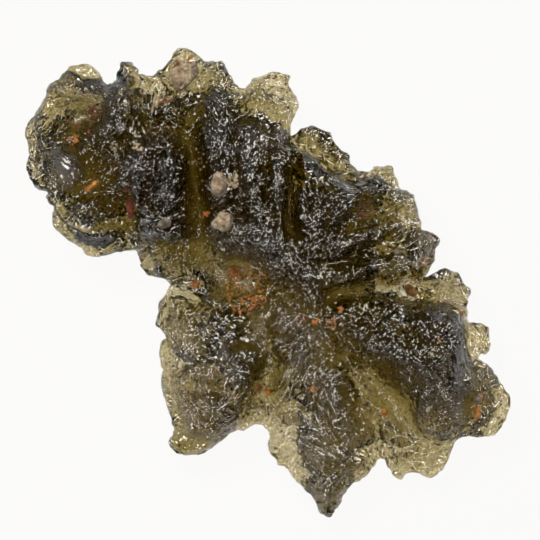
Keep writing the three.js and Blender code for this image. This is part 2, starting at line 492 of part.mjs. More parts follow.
function isInside(point) {
  let inside = false;
  for (let i = 0, j = outline.length - 1; i < outline.length; j = i, i += 1) {
    const a = outline[i];
    const b = outline[j];
    const crosses = (a.y > point.y) !== (b.y > point.y);
    if (crosses && point.x < ((b.x - a.x) * (point.y - a.y)) / (b.y - a.y) + a.x) inside = !inside;
  }
  return inside;
}

function distanceToRim(point) {
  let least = Infinity;
  for (let i = 0, j = outline.length - 1; i < outline.length; j = i, i += 1) {
    const a = outline[j];
    const edge = { x: outline[i].x - a.x, y: outline[i].y - a.y };
    const along = ((point.x - a.x) * edge.x + (point.y - a.y) * edge.y) / (edge.x ** 2 + edge.y ** 2);
    const t = THREE.MathUtils.clamp(along, 0, 1);
    least = Math.min(least, Math.hypot(point.x - a.x - t * edge.x, point.y - a.y - t * edge.y));
  }
  return least;
}

// ---------------------------------------------------------------------------------------------------
// The two level fields: a smooth surface through every control point
// ---------------------------------------------------------------------------------------------------

// Solves matrix * unknown = right side by Gaussian elimination with row exchange.
function solve(rows) {
  const count = rows.length;
  for (let column = 0; column < count; column++) {
    let pivot = column;
    for (let row = column + 1; row < count; row++) {
      if (Math.abs(rows[row][column]) > Math.abs(rows[pivot][column])) pivot = row;
    }
    [rows[column], rows[pivot]] = [rows[pivot], rows[column]];
    const lead = rows[column];
    for (let row = column + 1; row < count; row++) {
      const target = rows[row];
      const factor = target[column] / lead[column];
      for (let k = column; k <= count; k++) target[k] -= factor * lead[k];
    }
  }
  const unknown = new Float64Array(count);
  for (let row = count - 1; row >= 0; row--) {
    let sum = rows[row][count];
    for (let k = row + 1; k < count; k++) sum -= rows[row][k] * unknown[k];
    unknown[row] = sum / rows[row][row];
  }
  return unknown;
}

// A multiquadric surface through the control points; RIDGE_ROUNDING blunts its creases.
function makeLevelField(controls) {
  const influence = (a, b) => Math.hypot(a.x - b.x, a.y - b.y, RIDGE_ROUNDING);
  const count = controls.length;
  const rows = controls.map((control) => {
    const row = new Float64Array(count + 2);
    controls.forEach((other, k) => { row[k] = influence(control, other); });
    row[count] = 1;
    row[count + 1] = control.level;
    return row;
  });
  rows.push(new Float64Array(count + 2).fill(1, 0, count));
  const weights = solve(rows);
  return (point) => {
    let level = weights[count];
    for (let k = 0; k < count; k++) level += weights[k] * influence(point, controls[k]);
    return level;
  };
}

// Adds to kept the candidates that lie at least room from every point kept before them.
function thinOut(candidates, room, kept) {
  for (const candidate of candidates) {
    if (kept.every((other) => distance(candidate, other) >= room)) kept.push(candidate);
  }
  return kept;
}

const rimMarks = RIM.map(([x, y, level, flange]) => ({ ...place([x, y]), level, flange }));

// Level and flange width at a point of the rim, weighted from the rim marks around it.
function rimAt(point) {
  let weightSum = 0;
  let level = 0;
  let flange = 0;
  for (const mark of rimMarks) {
    const weight = 1 / (distance(point, mark) ** 4 + MARK_REACH ** 4);
    weightSum += weight;
    level += weight * mark.level;
    flange += weight * mark.flange;
  }
  return { level: level / weightSum, flange: flange / weightSum };
}

// The rim, and a second row of points where the thin flange ends, on one side of the stone:
// side is 1 for the upper side and -1 for the lower side.
function rimControls(side) {
  const edgeRow = [];
  const flangeRow = [];
  rim.forEach((point, i) => {
    const before = rim[(i + rim.length - 1) % rim.length];
    const after = rim[(i + 1) % rim.length];
    const mark = rimAt(point);
    edgeRow.push({ x: point.x, y: point.y, level: mark.level + side * EDGE_THICKNESS / 2 });
    const length = distance(before, after);
    const inward = { x: (after.y - before.y) / length, y: (before.x - after.x) / length };
    const inner = { x: point.x + inward.x * mark.flange, y: point.y + inward.y * mark.flange };
    const level = mark.level + side * FLANGE_THICKNESS / 2;
    const clear = isInside(inner) && distanceToRim(inner) > FLANGE_CLEAR * mark.flange;
    if (clear) flangeRow.push({ ...inner, level });
  });
  return { edgeRow, flangeRow };
}

function controlPoints(features, side) {
  const lines = Object.values(features).flatMap((line) => {
    return refine(line.map(placeWithLevel), CONTROL_STEP, false);
  });
  const { edgeRow, flangeRow } = rimControls(side);
  const kept = thinOut(edgeRow, CONTROL_ROOM.edge, []);
  thinOut(lines, CONTROL_ROOM.features, kept);
  return thinOut(flangeRow, CONTROL_ROOM.flange, kept);
}

const upperField = makeLevelField(controlPoints(UPPER, 1));
const lowerField = makeLevelField(controlPoints(LOWER, -1));

// ---------------------------------------------------------------------------------------------------
// Etched texture: lumps and round pits
// ---------------------------------------------------------------------------------------------------

const noise = new ImprovedNoise();

function lumps(point, { height, width }, layer) {
  return height * noise.noise(point.x / width, point.y / width, layer);
}

function hashed(column, row, [across, along], layer) {
  return noise.noise(column * across, row * along, layer);
}

// Round-bottomed pits, one in each cell of a square net, set off its middle by noise.
function pits(point, { depth, width, spacing }, layer) {
  const column = Math.round(point.x / spacing);
  const row = Math.round(point.y / spacing);
  let deepest = 0;
  for (let i = column - 1; i <= column + 1; i++) {
    for (let k = row - 1; k <= row + 1; k++) {
      const centre = {
        x: (i + PIT_SCATTER * hashed(i, k, HASH.pitEast, layer)) * spacing,
        y: (k + PIT_SCATTER * hashed(i, k, HASH.pitNorth, layer + LAYER.pitNorth)) * spacing,
      };
      const size = 1 + PIT_SPREAD * hashed(i, k, HASH.pitSize, layer + LAYER.pitSize);
      const reach = distance(point, centre) / (0.5 * width * size);
      if (reach < 1) deepest = Math.max(deepest, depth * size * (1 - reach ** 2));
    }
  }
  return deepest;
}

// Winding round-bottomed grooves, wherever a broad noise passes through nought.
function grooves(point, { depth, width, spacing }, layer) {
  const height = Math.abs(noise.noise(point.x / spacing, point.y / spacing, layer));
  const reach = height / (0.5 * width / spacing);
  return reach < 1 ? depth * (1 - reach ** 2) : 0;
}

const smoothSpots = SMOOTH.map(([x, y, radius]) => ({ ...place([x, y]), radius }));

function roughnessAt(point) {
  let roughness = THREE.MathUtils.smoothstep(distanceToRim(point), ROUGH_BAND.from, ROUGH_BAND.to);
  for (const { radius, ...middle } of smoothSpots) {
    roughness *= THREE.MathUtils.smoothstep(distance(point, middle), SMOOTH_CORE * radius, radius);
  }
  return roughness;
}

// ---------------------------------------------------------------------------------------------------
// The finished levels of the upper and lower side
// ---------------------------------------------------------------------------------------------------

const grains = Object.entries(GRAINS).map(([name, { at, size, turn, color }]) => {
  const centre = place(at);
  const seat = upperField(centre) - SEAT_DEPTH;
  return { name, centre, size, color, seat, turn: THREE.MathUtils.degToRad(turn) };
});

// How far a point lies from a grain's middle, as a share of the grain's own half length and width.
function reachFromGrain(point, { centre, size, turn }) {
  const x = point.x - centre.x;
  const y = point.y - centre.y;
  const along = x * Math.cos(turn) + y * Math.sin(turn);
  const across = y * Math.cos(turn) - x * Math.sin(turn);
  return Math.hypot(along / (size[0] / 2 + SEAT_MARGIN), across / (size[1] / 2 + SEAT_MARGIN));
}

// The point where the smooth field is read, shifted by noise so that its ridges and cliffs wander.
function warp(point, roughness) {
  return {
    x: point.x + roughness * lumps(point, WARP, LAYER.warpEast),
    y: point.y + roughness * lumps(point, WARP, LAYER.warpNorth),
  };
}

function upperLevel(point) {
  const roughness = roughnessAt(point);
  let level = upperField(warp(point, roughness));
  const raised = lumps(point, LUMP, LAYER.lump) + lumps(point, FINE_LUMP, LAYER.fineLump);
  level += roughness * (raised - pits(point, PIT, LAYER.pit));
  for (const grain of grains) {
    const inSeat = 1 - THREE.MathUtils.smoothstep(reachFromGrain(point, grain), SEAT_REACH, SEAT_BLEND);
    level = THREE.MathUtils.lerp(level, grain.seat, inSeat);
  }
  return level;
}

const feet = FEET.map(place);

function lowerLevel(point) {
  const roughness = roughnessAt(point);
  let level = lowerField(point);
  const hollowed = pits(point, UNDER_PIT, LAYER.underPit) + grooves(point, UNDER_GROOVE, LAYER.underGroove);
  level += roughness * (lumps(point, UNDER_LUMP, LAYER.underLump) + hollowed - UNDER_SWELL);
  const fromRim = THREE.MathUtils.smoothstep(distanceToRim(point), 0, THICK_BAND);
  const thickness = THREE.MathUtils.lerp(EDGE_THICKNESS, BODY_THICKNESS_MIN, fromRim);
  level = Math.min(level, upperLevel(point) - thickness);
  level = Math.max(level, GROUND_CLEARANCE);
  const toFoot = Math.min(...feet.map((foot) => distance(point, foot)));
  return level * THREE.MathUtils.smoothstep(toFoot, FOOT_RADIUS, FOOT_BLEND);
}

// ---------------------------------------------------------------------------------------------------
// The net of triangles that each side is drawn with
// ---------------------------------------------------------------------------------------------------

function circleThrough(a, b, c) {
  const bx = b.x - a.x;
  const by = b.y - a.y;
  const cx = c.x - a.x;
  const cy = c.y - a.y;
  const turn = 2 * (bx * cy - by * cx);
  const x = (cy * (bx * bx + by * by) - by * (cx * cx + cy * cy)) / turn;
  const y = (bx * (cx * cx + cy * cy) - cx * (bx * bx + by * by)) / turn;
  return { x: a.x + x, y: a.y + y, radiusSquared: x * x + y * y };
}

// Delaunay triangles of the points, by adding one point at a time to a triangle that holds them all.
function triangulate(points) {
  const far = FAR_CORNER * STONE_LENGTH;
  const all = [...points, { x: -far, y: -far }, { x: far, y: -far }, { x: 0, y: far }];
  const makeTriangle = (a, b, c) => ({ corners: [a, b, c], circle: circleThrough(all[a], all[b], all[c]) });
  let triangles = [makeTriangle(points.length, points.length + 1, points.length + 2)];
  points.forEach((point, index) => {
    const hole = new Map();
    const kept = [];
    for (const triangle of triangles) {
      const { x, y, radiusSquared } = triangle.circle;
      if ((point.x - x) ** 2 + (point.y - y) ** 2 >= radiusSquared) {
        kept.push(triangle);
        continue;
      }
      triangle.corners.forEach((from, k) => {
        const to = triangle.corners[(k + 1) % 3];
        if (!hole.delete(`${to},${from}`)) hole.set(`${from},${to}`, [from, to]);
      });
    }
    triangles = kept;
    for (const [from, to] of hole.values()) triangles.push(makeTriangle(from, to, index));
  });
  const found = triangles.map((triangle) => triangle.corners);
  return found.filter((corners) => Math.max(...corners) < points.length);
}

// Rows of evenly spaced points, each shifted a little by noise, over the whole plan.
function fillPoints(step) {
  const points = [];
  const reach = FILL_REACH * STONE_LENGTH;
  const rowStep = step * Math.sqrt(3) / 2;
  for (let row = 0; row * rowStep < 2 * reach; row++) {
    for (let x = -reach + (row % 2) * step / 2; x < reach; x += step) {
      const y = row * rowStep - reach;
      const point = {
        x: x + FILL_SHIFT * step * hashed(x, y, HASH.fillEast, LAYER.fillEast),
        y: y + FILL_SHIFT * step * hashed(x, y, HASH.fillNorth, LAYER.fillNorth),
      };
      if (isInside(point)) points.push(point);
    }
  }
  return points;
}

// The middle and the six corners of a foot's flat, so that the ground meets a true plane.
function footPoints(foot) {
  const ring = Array.from({ length: 6 }, (_, k) => {
    const angle = k * Math.PI / 3;
    return { x: foot.x + FOOT_FLAT * Math.cos(angle), y: foot.y + FOOT_FLAT * Math.sin(angle) };
  });
  return [{ x: foot.x, y: foot.y }, ...ring];
}

// The middle and the border of the flat floor that a grain sits on.
function seatPoints({ centre, size, turn }) {
  const ring = Array.from({ length: 8 }, (_, k) => {
    const angle = k * Math.PI / 4;
    const along = SEAT_REACH * Math.cos(angle) * (size[0] / 2 + SEAT_MARGIN);
    const across = SEAT_REACH * Math.sin(angle) * (size[1] / 2 + SEAT_MARGIN);
    return {
      x: centre.x + along * Math.cos(turn) - across * Math.sin(turn),
      y: centre.y + along * Math.sin(turn) + across * Math.cos(turn),
    };
  });
  return [{ x: centre.x, y: centre.y }, ...ring];
}

// The plan corners of one side: the rim first, then those that follow its features, then the fill.
function planCorners(features, step, firstPoints) {
  const corners = [...rim];
  const clear = (point) => isInside(point) && distanceToRim(point) > RIM_CLEARANCE;
  const alongFeatures = Object.values(features).flatMap((line) => {
    return refine(line.map(placeWithLevel), step, false);
  });
  thinOut(firstPoints.filter(clear), CORNER_ROOM.flats * step, corners);
  thinOut(alongFeatures.filter(clear), CORNER_ROOM.features * step, corners);
  return thinOut(fillPoints(step).filter(clear), CORNER_ROOM.fill * step, corners);
}

// Triangles inside the outline. Every stretch of the rim has to be a side of one of them.
function planTriangles(corners) {
  const triangles = triangulate(corners).filter((triangle) => {
    const [a, b, c] = triangle.map((k) => corners[k]);
    return isInside({ x: (a.x + b.x + c.x) / 3, y: (a.y + b.y + c.y) / 3 });
  });
  const sides = new Set(triangles.flatMap(([a, b, c]) => [`${a},${b}`, `${b},${c}`, `${c},${a}`]));
  for (let i = 0; i < rim.length; i++) {
    const next = (i + 1) % rim.length;
    if (!sides.has(`${next},${i}`)) {
      throw new Error(`the rim is open near ${rim[i].x.toFixed(2)}, ${rim[i].y.toFixed(2)}`);
    }
  }
  return triangles;
}

// ---------------------------------------------------------------------------------------------------
// The pieces
// ---------------------------------------------------------------------------------------------------

function makeMesh(name, positions, triangles, material) {
  const geometry = new THREE.BufferGeometry();
  geometry.setAttribute('position', new THREE.Float32BufferAttribute(positions.flat(), 3));
  geometry.setIndex(triangles.flat());
  geometry.computeVertexNormals();
  const mesh = new THREE.Mesh(geometry, material);
  mesh.name = name;
  return mesh;
}

// The glass: an upper net, a lower net turned to face down, and a narrow wall along the rim.
function makeStone() {
  const upperCorners = planCorners(UPPER, UPPER_STEP, grains.flatMap(seatPoints));
  const lowerCorners = planCorners(LOWER, LOWER_STEP, feet.flatMap(footPoints));
  const upperTriangles = planTriangles(upperCorners);
  const lowerTriangles = planTriangles(lowerCorners);
  const first = upperCorners.length;
  const positions = [
    ...upperCorners.map((corner) => [corner.x, corner.y, upperLevel(corner)]),
    ...lowerCorners.map((corner) => [corner.x, corner.y, lowerLevel(corner)]),
  ];
  const triangles = [
    ...upperTriangles,
    ...lowerTriangles.map(([a, b, c]) => [first + a, first + c, first + b]),
  ];
  for (let i = 0; i < rim.length; i++) {
    const next = (i + 1) % rim.length;
    triangles.push([i, next, first + next], [i, first + next, first + i]);
  }
  const glass = new THREE.MeshStandardMaterial({ color: 0x4f4a2c, roughness: 0.35, metalness: 0 });
  return makeMesh('moldavite', positions, triangles, glass);
}

// A worn grain: a round lump with a flattened base that sits SEAT_GAP above the floor of its pit.
function makeGrain({ name, centre, size, turn, color, seat }, index) {
  const { swell, coarseness, apart, base } = GRAIN_SHAPE;
  const ball = new THREE.IcosahedronGeometry(0.5, 1);
  ball.deleteAttribute('normal');
  ball.deleteAttribute('uv');
  const geometry = mergeVertices(ball);
  const corners = geometry.attributes.position;
  for (let i = 0; i < corners.count; i++) {
    const corner = new THREE.Vector3().fromBufferAttribute(corners, i);
    const { x, y, z } = corner.clone().multiplyScalar(coarseness);
    corner.multiplyScalar(1 + swell * noise.noise(x + apart * index, y, z + LAYER.lump));
    corners.setXYZ(i, corner.x * size[0], corner.y * size[1], Math.max(corner.z, -base) * size[2]);
  }
  geometry.computeVertexNormals();
  const matt = new THREE.MeshStandardMaterial({ color, roughness: 0.85, metalness: 0 });
  const mesh = new THREE.Mesh(geometry, matt);
  mesh.name = name;
  mesh.position.set(centre.x, centre.y, seat + SEAT_GAP + base * size[2]);
  mesh.rotation.z = turn;
  return mesh;
}

const group = new THREE.Group();
group.add(makeStone(), ...grains.map(makeGrain));

export default group;
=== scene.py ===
"""A moldavite on a pale light table: the etched glass, its lodged grains, and crumbs of clay and sand."""

import math

import bmesh
import bpy
import numpy as np
from mathutils import Matrix, Vector, noise
from mathutils.bvhtree import BVHTree
from mathutils.kdtree import KDTree


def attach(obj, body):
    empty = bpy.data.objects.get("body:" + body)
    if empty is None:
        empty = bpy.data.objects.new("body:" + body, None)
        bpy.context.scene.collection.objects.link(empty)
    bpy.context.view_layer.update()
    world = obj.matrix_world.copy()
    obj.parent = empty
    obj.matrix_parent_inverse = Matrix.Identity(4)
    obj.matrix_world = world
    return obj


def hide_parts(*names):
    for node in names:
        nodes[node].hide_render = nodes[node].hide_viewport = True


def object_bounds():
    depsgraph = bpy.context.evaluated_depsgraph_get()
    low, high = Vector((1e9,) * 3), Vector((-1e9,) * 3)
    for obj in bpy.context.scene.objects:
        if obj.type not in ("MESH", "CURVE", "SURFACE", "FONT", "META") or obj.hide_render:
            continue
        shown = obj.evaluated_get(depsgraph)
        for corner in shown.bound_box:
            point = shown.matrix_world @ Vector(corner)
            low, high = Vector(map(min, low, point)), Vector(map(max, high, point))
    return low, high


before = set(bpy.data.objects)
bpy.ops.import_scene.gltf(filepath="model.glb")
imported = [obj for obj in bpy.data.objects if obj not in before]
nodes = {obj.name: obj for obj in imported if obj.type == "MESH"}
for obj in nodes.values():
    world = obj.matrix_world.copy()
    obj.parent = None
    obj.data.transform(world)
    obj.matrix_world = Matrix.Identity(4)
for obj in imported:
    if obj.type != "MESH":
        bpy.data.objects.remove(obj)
cad_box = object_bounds()

# Without a seed, mathutils takes the offsets of its vector noise from the clock, and no two runs agree.
NOISE_SEED = 1795483140
noise.seed_set(NOISE_SEED)

# ---------------------------------------------------------------------------------------------------
# Plan of the stone: drawing squares, x to the right and y down, scaled to the frame's box
# ---------------------------------------------------------------------------------------------------

MM = 0.001
PLAN_WEST, PLAN_EAST = 25.0, 511.7
PLAN_NORTH, PLAN_SOUTH = 48.2, 518.0
PLAN_SIZE = 540.0

box_low, box_high = cad_box
squares_per_metre = (PLAN_EAST - PLAN_WEST) / (box_high.x - box_low.x)
plan_centre = ((PLAN_WEST + PLAN_EAST) / 2, (PLAN_NORTH + PLAN_SOUTH) / 2)


def place(x, y):
    """The point of the frame, in metres, that lies at square (x, y) of the plan."""
    return (x - plan_centre[0]) / squares_per_metre, (plan_centre[1] - y) / squares_per_metre


def plan_of(points):
    """The plan squares, x and y, that the points lie at."""
    plan_x = plan_centre[0] + points[:, 0] * squares_per_metre
    plan_y = plan_centre[1] - points[:, 1] * squares_per_metre
    return plan_x, plan_y


def share_inside(plan_x, plan_y, x, y, radius, power=1):
    """1 in the middle of a round stretch, falling to 0 at its edge; a power of 2 keeps more of it at 1."""
    return np.clip(2.0 - 2.0 * (np.hypot(plan_x - x, plan_y - y) / radius) ** power, 0, 1)


# ---------------------------------------------------------------------------------------------------
# Stretches of the glass, placed on the plan
# ---------------------------------------------------------------------------------------------------

# Stretches that stayed smooth: plan x, y, radius in squares, and how much is left there of the pits
# and of the finest etching.
SMOOTH_SPOTS = [
    (68, 164, 20, 0.12, 0.15),
    (312, 174, 26, 0.15, 0.3),
    (86, 70, 18, 0.3, 0.3),
    (128, 84, 14, 0.3, 0.5),
    (92, 236, 22, 0.3, 0.3),
    (192, 446, 22, 0.4, 0.4),
    (196, 170, 16, 0.4, 0.4),
    (236, 338, 16, 0.25, 0.3),
    (298, 168, 14, 0.25, 0.3),
    (388, 394, 40, 0.25, 0.6),
    (444, 288, 28, 0.5, 1.0),
    (418, 456, 42, 0.5, 0.8),
    (330, 286, 30, 0.35, 0.8),
    (478, 342, 16, 0.5, 1.0),
    (462, 366, 20, 0.15, 0.3),
    (500, 408, 16, 0.5, 1.0),
    (262, 118, 16, 0.5, 0.8),
    (222, 276, 26, 0.45, 0.8),
    (168, 366, 16, 0.4, 1.0),
    (205, 345, 26, 0.5, 0.8),
    (320, 145, 14, 0.4, 1.0),
    (80, 120, 18, 0.45, 0.8),
    (205, 385, 52, 0.55, 0.9),
    (322, 425, 56, 0.55, 0.9),
    (285, 350, 40, 0.7, 1.0),
]

# Stretches with a duller skin: plan x, y and radius in squares.
DULL_SPOTS = [
    (200, 375, 75),
    (310, 435, 85),
    (280, 345, 60),
    (235, 275, 45),
    (400, 420, 70),
    (85, 95, 45),
    (200, 72, 30),
    (282, 95, 26),
    (445, 290, 30),
    (485, 400, 40),
    (64, 166, 30),
    (88, 232, 30),
    (463, 364, 26),
]

# Stretches with flow lines: plan x, y, radius, direction of the lines in degrees, depth in mm.
STRIATED_SPOTS = [
    (68, 166, 22, -40, 0.06),
    (318, 178, 30, -52, 0.09),
    (461, 368, 36, -78, 0.18),
    (385, 394, 40, -40, 0.09),
    (300, 430, 50, -62, 0.09),
    (190, 390, 40, -84, 0.08),
    (372, 232, 40, 18, 0.12),
    (155, 200, 30, -86, 0.08),
    (60, 215, 30, -35, 0.14),
]

# Sharp crests (positive, height in mm) and cracks (negative), each along a line of plan squares.
CREST_LINES = [
    (0.3, [(143, 180), (140, 200), (141, 213), (145, 228), (150, 231), (180, 233)]),
    (0.28, [(122, 178), (125, 170), (130, 162), (140, 155), (150, 150), (160, 146), (170, 141)]),
    (0.3, [(285, 152), (293, 156), (302, 156), (312, 162), (330, 182)]),
    (-0.3, [(222, 98), (232, 102), (245, 96), (255, 90)]),
    (0.26, [(395, 225), (378, 236), (352, 250), (326, 256), (300, 258)]),
    (0.26, [(360, 269), (380, 262), (398, 258), (415, 267)]),
    (-0.3, [(366, 405), (376, 416), (388, 428), (398, 440)]),
    (-0.3, [(178, 383), (179, 395), (182, 405)]),
    (0.22, [(52, 152), (66, 156), (80, 164), (84, 182)]),
    (0.24, [(52, 200), (66, 220), (84, 232), (100, 236), (112, 230)]),
    (-0.28, [(96, 92), (110, 98), (124, 94), (138, 88)]),
    (0.24, [(168, 440), (186, 450), (206, 446)]),
    (0.26, [(452, 334), (458, 352), (464, 372), (471, 396)]),
    (0.24, [(456, 330), (461, 346), (467, 370), (473, 394)]),
    (0.2, [(460, 332), (466, 350), (471, 372), (476, 390)]),
    (0.2, [(349, 172), (362, 166), (378, 170), (388, 178)]),
    (-0.24, [(300, 236), (316, 246), (330, 240), (344, 226), (356, 214)]),
    (-0.22, [(334, 352), (352, 366), (372, 378), (392, 398)]),
]

# The underside is moved over these stretches: plan x, y, radius in squares, and mm downwards.
THICKNESS_SPOTS = [
    (168, 370, 22, 0.7),
    (168, 330, 18, 0.5),
    (480, 342, 16, 0.3),
    (445, 405, 20, 0.8),
    (408, 462, 26, 0.4),
    (380, 392, 24, 1.3),
    (402, 430, 22, 1.5),
    (445, 288, 24, 0.7),
    (222, 275, 24, 2.1),
    (248, 288, 22, 0.6),
    (282, 90, 24, -1.6),
    (388, 182, 22, -1.6),
    (280, 340, 40, -1.6),
    (286, 408, 34, -0.7),
    (345, 236, 50, -0.8),
    (386, 266, 34, -2.8),
    (320, 195, 28, -1.8),
    (398, 324, 46, -2.6),
    (330, 492, 24, 2.2),
    (425, 245, 22, 2.8),
    (192, 446, 18, 0.8),
    (334, 444, 32, 1.0),
    (165, 112, 22, -2.3),
    (192, 130, 16, -1.2),
    (320, 146, 20, 0.7),
    (262, 336, 26, 2.2),
    (268, 394, 30, 0.9),
    (225, 355, 54, -1.1),
    (318, 395, 50, -0.9),
    (262, 118, 18, -0.5),
    (250, 290, 24, 0.6),
    (120, 165, 40, 0.5),
    (205, 78, 20, 0.5),
    (438, 370, 24, 0.9),
    (198, 346, 22, 1.1),
    (224, 342, 24, -0.9),
    (196, 402, 34, 0.5),
]

# ---------------------------------------------------------------------------------------------------
# Mesh helpers
# ---------------------------------------------------------------------------------------------------

# Corners of a CAD mesh that round to the same multiple of this are one corner.
MERGE_STEP = 0.001 * MM
# A face belongs to the wall round the stone's edge when the upward part of its normal is below this.
WALL_STEEPNESS = 0.06
# Smoothing holds the upper and the lower edge of the wall apart: the upward parts of their normals
# differ by more than this.
WALL_TURN = 0.5
# Smoothing moves each corner towards its neighbours by the first share, then away by the second.
SMOOTH_STEPS = (0.55, -0.57)
SHARP_ANGLE = math.radians(55)
# Keeps a corner whose faces cancel out from being divided by nothing.
SHORTEST_NORMAL = 1e-12


def read_mesh(obj):
    """Corner positions and triangles of a CAD node, with coinciding corners merged."""
    mesh = obj.data
    mesh.calc_loop_triangles()
    points = np.empty(len(mesh.vertices) * 3)
    mesh.vertices.foreach_get("co", points)
    points = points.reshape(-1, 3)
    triangles = np.empty(len(mesh.loop_triangles) * 3, dtype=np.int64)
    mesh.loop_triangles.foreach_get("vertices", triangles)
    keys = np.round(points / MERGE_STEP).astype(np.int64)
    _, first, index = np.unique(keys, axis=0, return_index=True, return_inverse=True)
    triangles = index.reshape(-1)[triangles].reshape(-1, 3)
    solid = (
        (triangles[:, 0] != triangles[:, 1])
        & (triangles[:, 1] != triangles[:, 2])
        & (triangles[:, 2] != triangles[:, 0])
    )
    return points[first], triangles[solid]


def edges_of(triangles):
    """Each edge once, and for every triangle the number of the edge that starts at each corner."""
    sides = np.concatenate([triangles[:, [0, 1]], triangles[:, [1, 2]], triangles[:, [2, 0]]])
    sides.sort(axis=1)
    edges, index = np.unique(sides, axis=0, return_inverse=True)
    return edges, index.reshape(3, -1).T


def face_normals(points, triangles):
    """The triangles' normals, each as long as twice the triangle's area."""
    a, b, c = (points[triangles[:, k]] for k in range(3))
    return np.cross(b - a, c - a)


def normals_of(points, triangles):
    """The normal at each corner, one unit long: the mean of the faces that meet there."""
    face = face_normals(points, triangles)
    total = np.zeros_like(points)
    for k in range(3):
        for axis in range(3):
            total[:, axis] += np.bincount(triangles[:, k], face[:, axis], len(points))
    return total / np.maximum(np.linalg.norm(total, axis=1, keepdims=True), SHORTEST_NORMAL)


def subdivide(points, triangles):
    """Splits every triangle in four at the middles of its sides."""
    edges, at_side = edges_of(triangles)
    middles = (points[edges[:, 0]] + points[edges[:, 1]]) / 2
    ab, bc, ca = (at_side[:, k] + len(points) for k in range(3))
    a, b, c = triangles.T
    parts = [(a, ab, ca), (ab, b, bc), (ca, bc, c), (ab, bc, ca)]
    return np.concatenate([points, middles]), np.concatenate([np.stack(part, axis=1) for part in parts])


def split_long(points, triangles, wall, limit):
    """Splits the sides longer than limit at their middles; wall and limit have a value for each corner."""
    edges, at_side = edges_of(triangles)
    ends = points[edges]
    long_side = np.linalg.norm(ends[:, 0] - ends[:, 1], axis=1) > limit[edges].mean(axis=1)
    number = np.where(long_side, len(points) + np.cumsum(long_side) - 1, -1)
    middle = number[at_side]
    # Turned so that a lone split side comes first, and a lone whole side comes last.
    split = middle >= 0
    count = split.sum(axis=1)
    first = np.where(count == 1, split.argmax(axis=1), 0)
    first = np.where(count == 2, (np.argmin(split, axis=1) + 1) % 3, first)
    turn = (first[:, None] + np.arange(3)) % 3
    (a, b, c), (ab, bc, ca) = (np.take_along_axis(table, turn, axis=1).T for table in (triangles, middle))
    patterns = {
        0: [(a, b, c)],
        1: [(a, ab, c), (ab, b, c)],
        2: [(a, ab, c), (ab, bc, c), (ab, b, bc)],
        3: [(a, ab, ca), (ab, b, bc), (ca, bc, c), (ab, bc, ca)],
    }
    parts = [np.stack(part, axis=1)[count == cuts] for cuts, group in patterns.items() for part in group]
    new_wall = wall[edges[long_side]].all(axis=1)
    points = np.concatenate([points, ends[long_side].mean(axis=1)])
    return points, np.concatenate(parts), np.concatenate([wall, new_wall])


def on_edge_wall(points, triangles):
    """Marks the corners of the steep wall that runs round the thin edge of the stone."""
    face = face_normals(points, triangles)
    steep = np.abs(face[:, 2]) < WALL_STEEPNESS * np.linalg.norm(face, axis=1)
    wall = np.zeros(len(points), dtype=bool)
    wall[triangles[steep].ravel()] = True
    return wall


def smooth(points, triangles, wall=None):
    """Rounds the facets off without shrinking the teeth: pulls the corners inwards and pushes them back.

    The corners marked in wall are drawn only to their neighbours along the same edge of the wall.
    """
    edges, _ = edges_of(triangles)
    at, by = np.concatenate([edges, edges[:, ::-1]]).T
    if wall is not None:
        lean = normals_of(points, triangles)[:, 2]
        free = ~wall[at] | (wall[by] & (np.abs(lean[at] - lean[by]) < WALL_TURN))
        at, by = at[free], by[free]
    count = np.bincount(at, minlength=len(points))[:, None]
    for step in SMOOTH_STEPS:
        total = np.stack([np.bincount(at, points[by, axis], len(points)) for axis in range(3)], axis=1)
        mean = np.where(count > 0, total / np.maximum(count, 1), points)
        points = points + step * (mean - points)
    return points


def add_object(name, data):
    """A new object in the scene, for a mesh, a light or a camera."""
    obj = bpy.data.objects.new(name, data)
    bpy.context.scene.collection.objects.link(obj)
    return obj


def make_object(name, points, triangles, material, node_names):
    """A visible piece in the place of CAD nodes, shaded smoothly except across its sharp edges."""
    mesh = bpy.data.meshes.new(name)
    mesh.from_pydata(points.tolist(), [], triangles.tolist())
    mesh.polygons.foreach_set("use_smooth", [True] * len(mesh.polygons))
    mesh.materials.append(material)
    mesh.update()
    mesh.set_sharp_from_angle(angle=SHARP_ANGLE)
    obj = add_object(name, mesh)
    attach(obj, "root")
    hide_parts(*node_names)
    return obj


# ---------------------------------------------------------------------------------------------------
# Form of the glass: its edge and its underside
# ---------------------------------------------------------------------------------------------------

# The underside is where the upward part of the normal is below this.
UNDER_LEAN = -0.1
# The underside moves by the full amount only this high above the table, so that the feet stay on it.
SHIFT_HEIGHT = 1.5 * MM
LEAST_THICKNESS = 0.7 * MM
# The thickness is measured upwards from this far above the underside.
RAY_START = 0.01 * MM
# The edge wall reaches this much further up and down.
EDGE_RISE = 0.15 * MM
EDGE_DROP = 0.6 * MM
# From the wall's lower edge the underside falls no steeper than BEVEL_SLOPE, and past BEVEL_REACH no
# steeper than BEVEL_SLOPE and BEVEL_FALL together.
BEVEL_SLOPE = 0.4
BEVEL_REACH = 1.5 * MM
BEVEL_FALL = 2.5


def bevel(points, below, wall):
    """Raises the underside corners near the rim, so that it slopes gently there."""
    edge = [index for index in below if wall[index]]
    tree = KDTree(len(edge))
    for number, index in enumerate(edge):
        tree.insert((points[index, 0], points[index, 1], 0.0), number)
    tree.balance()
    for index in below:
        _, number, away = tree.find((points[index, 0], points[index, 1], 0.0))
        fall = BEVEL_SLOPE * away + BEVEL_FALL * max(0.0, away - BEVEL_REACH)
        points[index, 2] = max(points[index, 2], points[edge[number], 2] - fall)


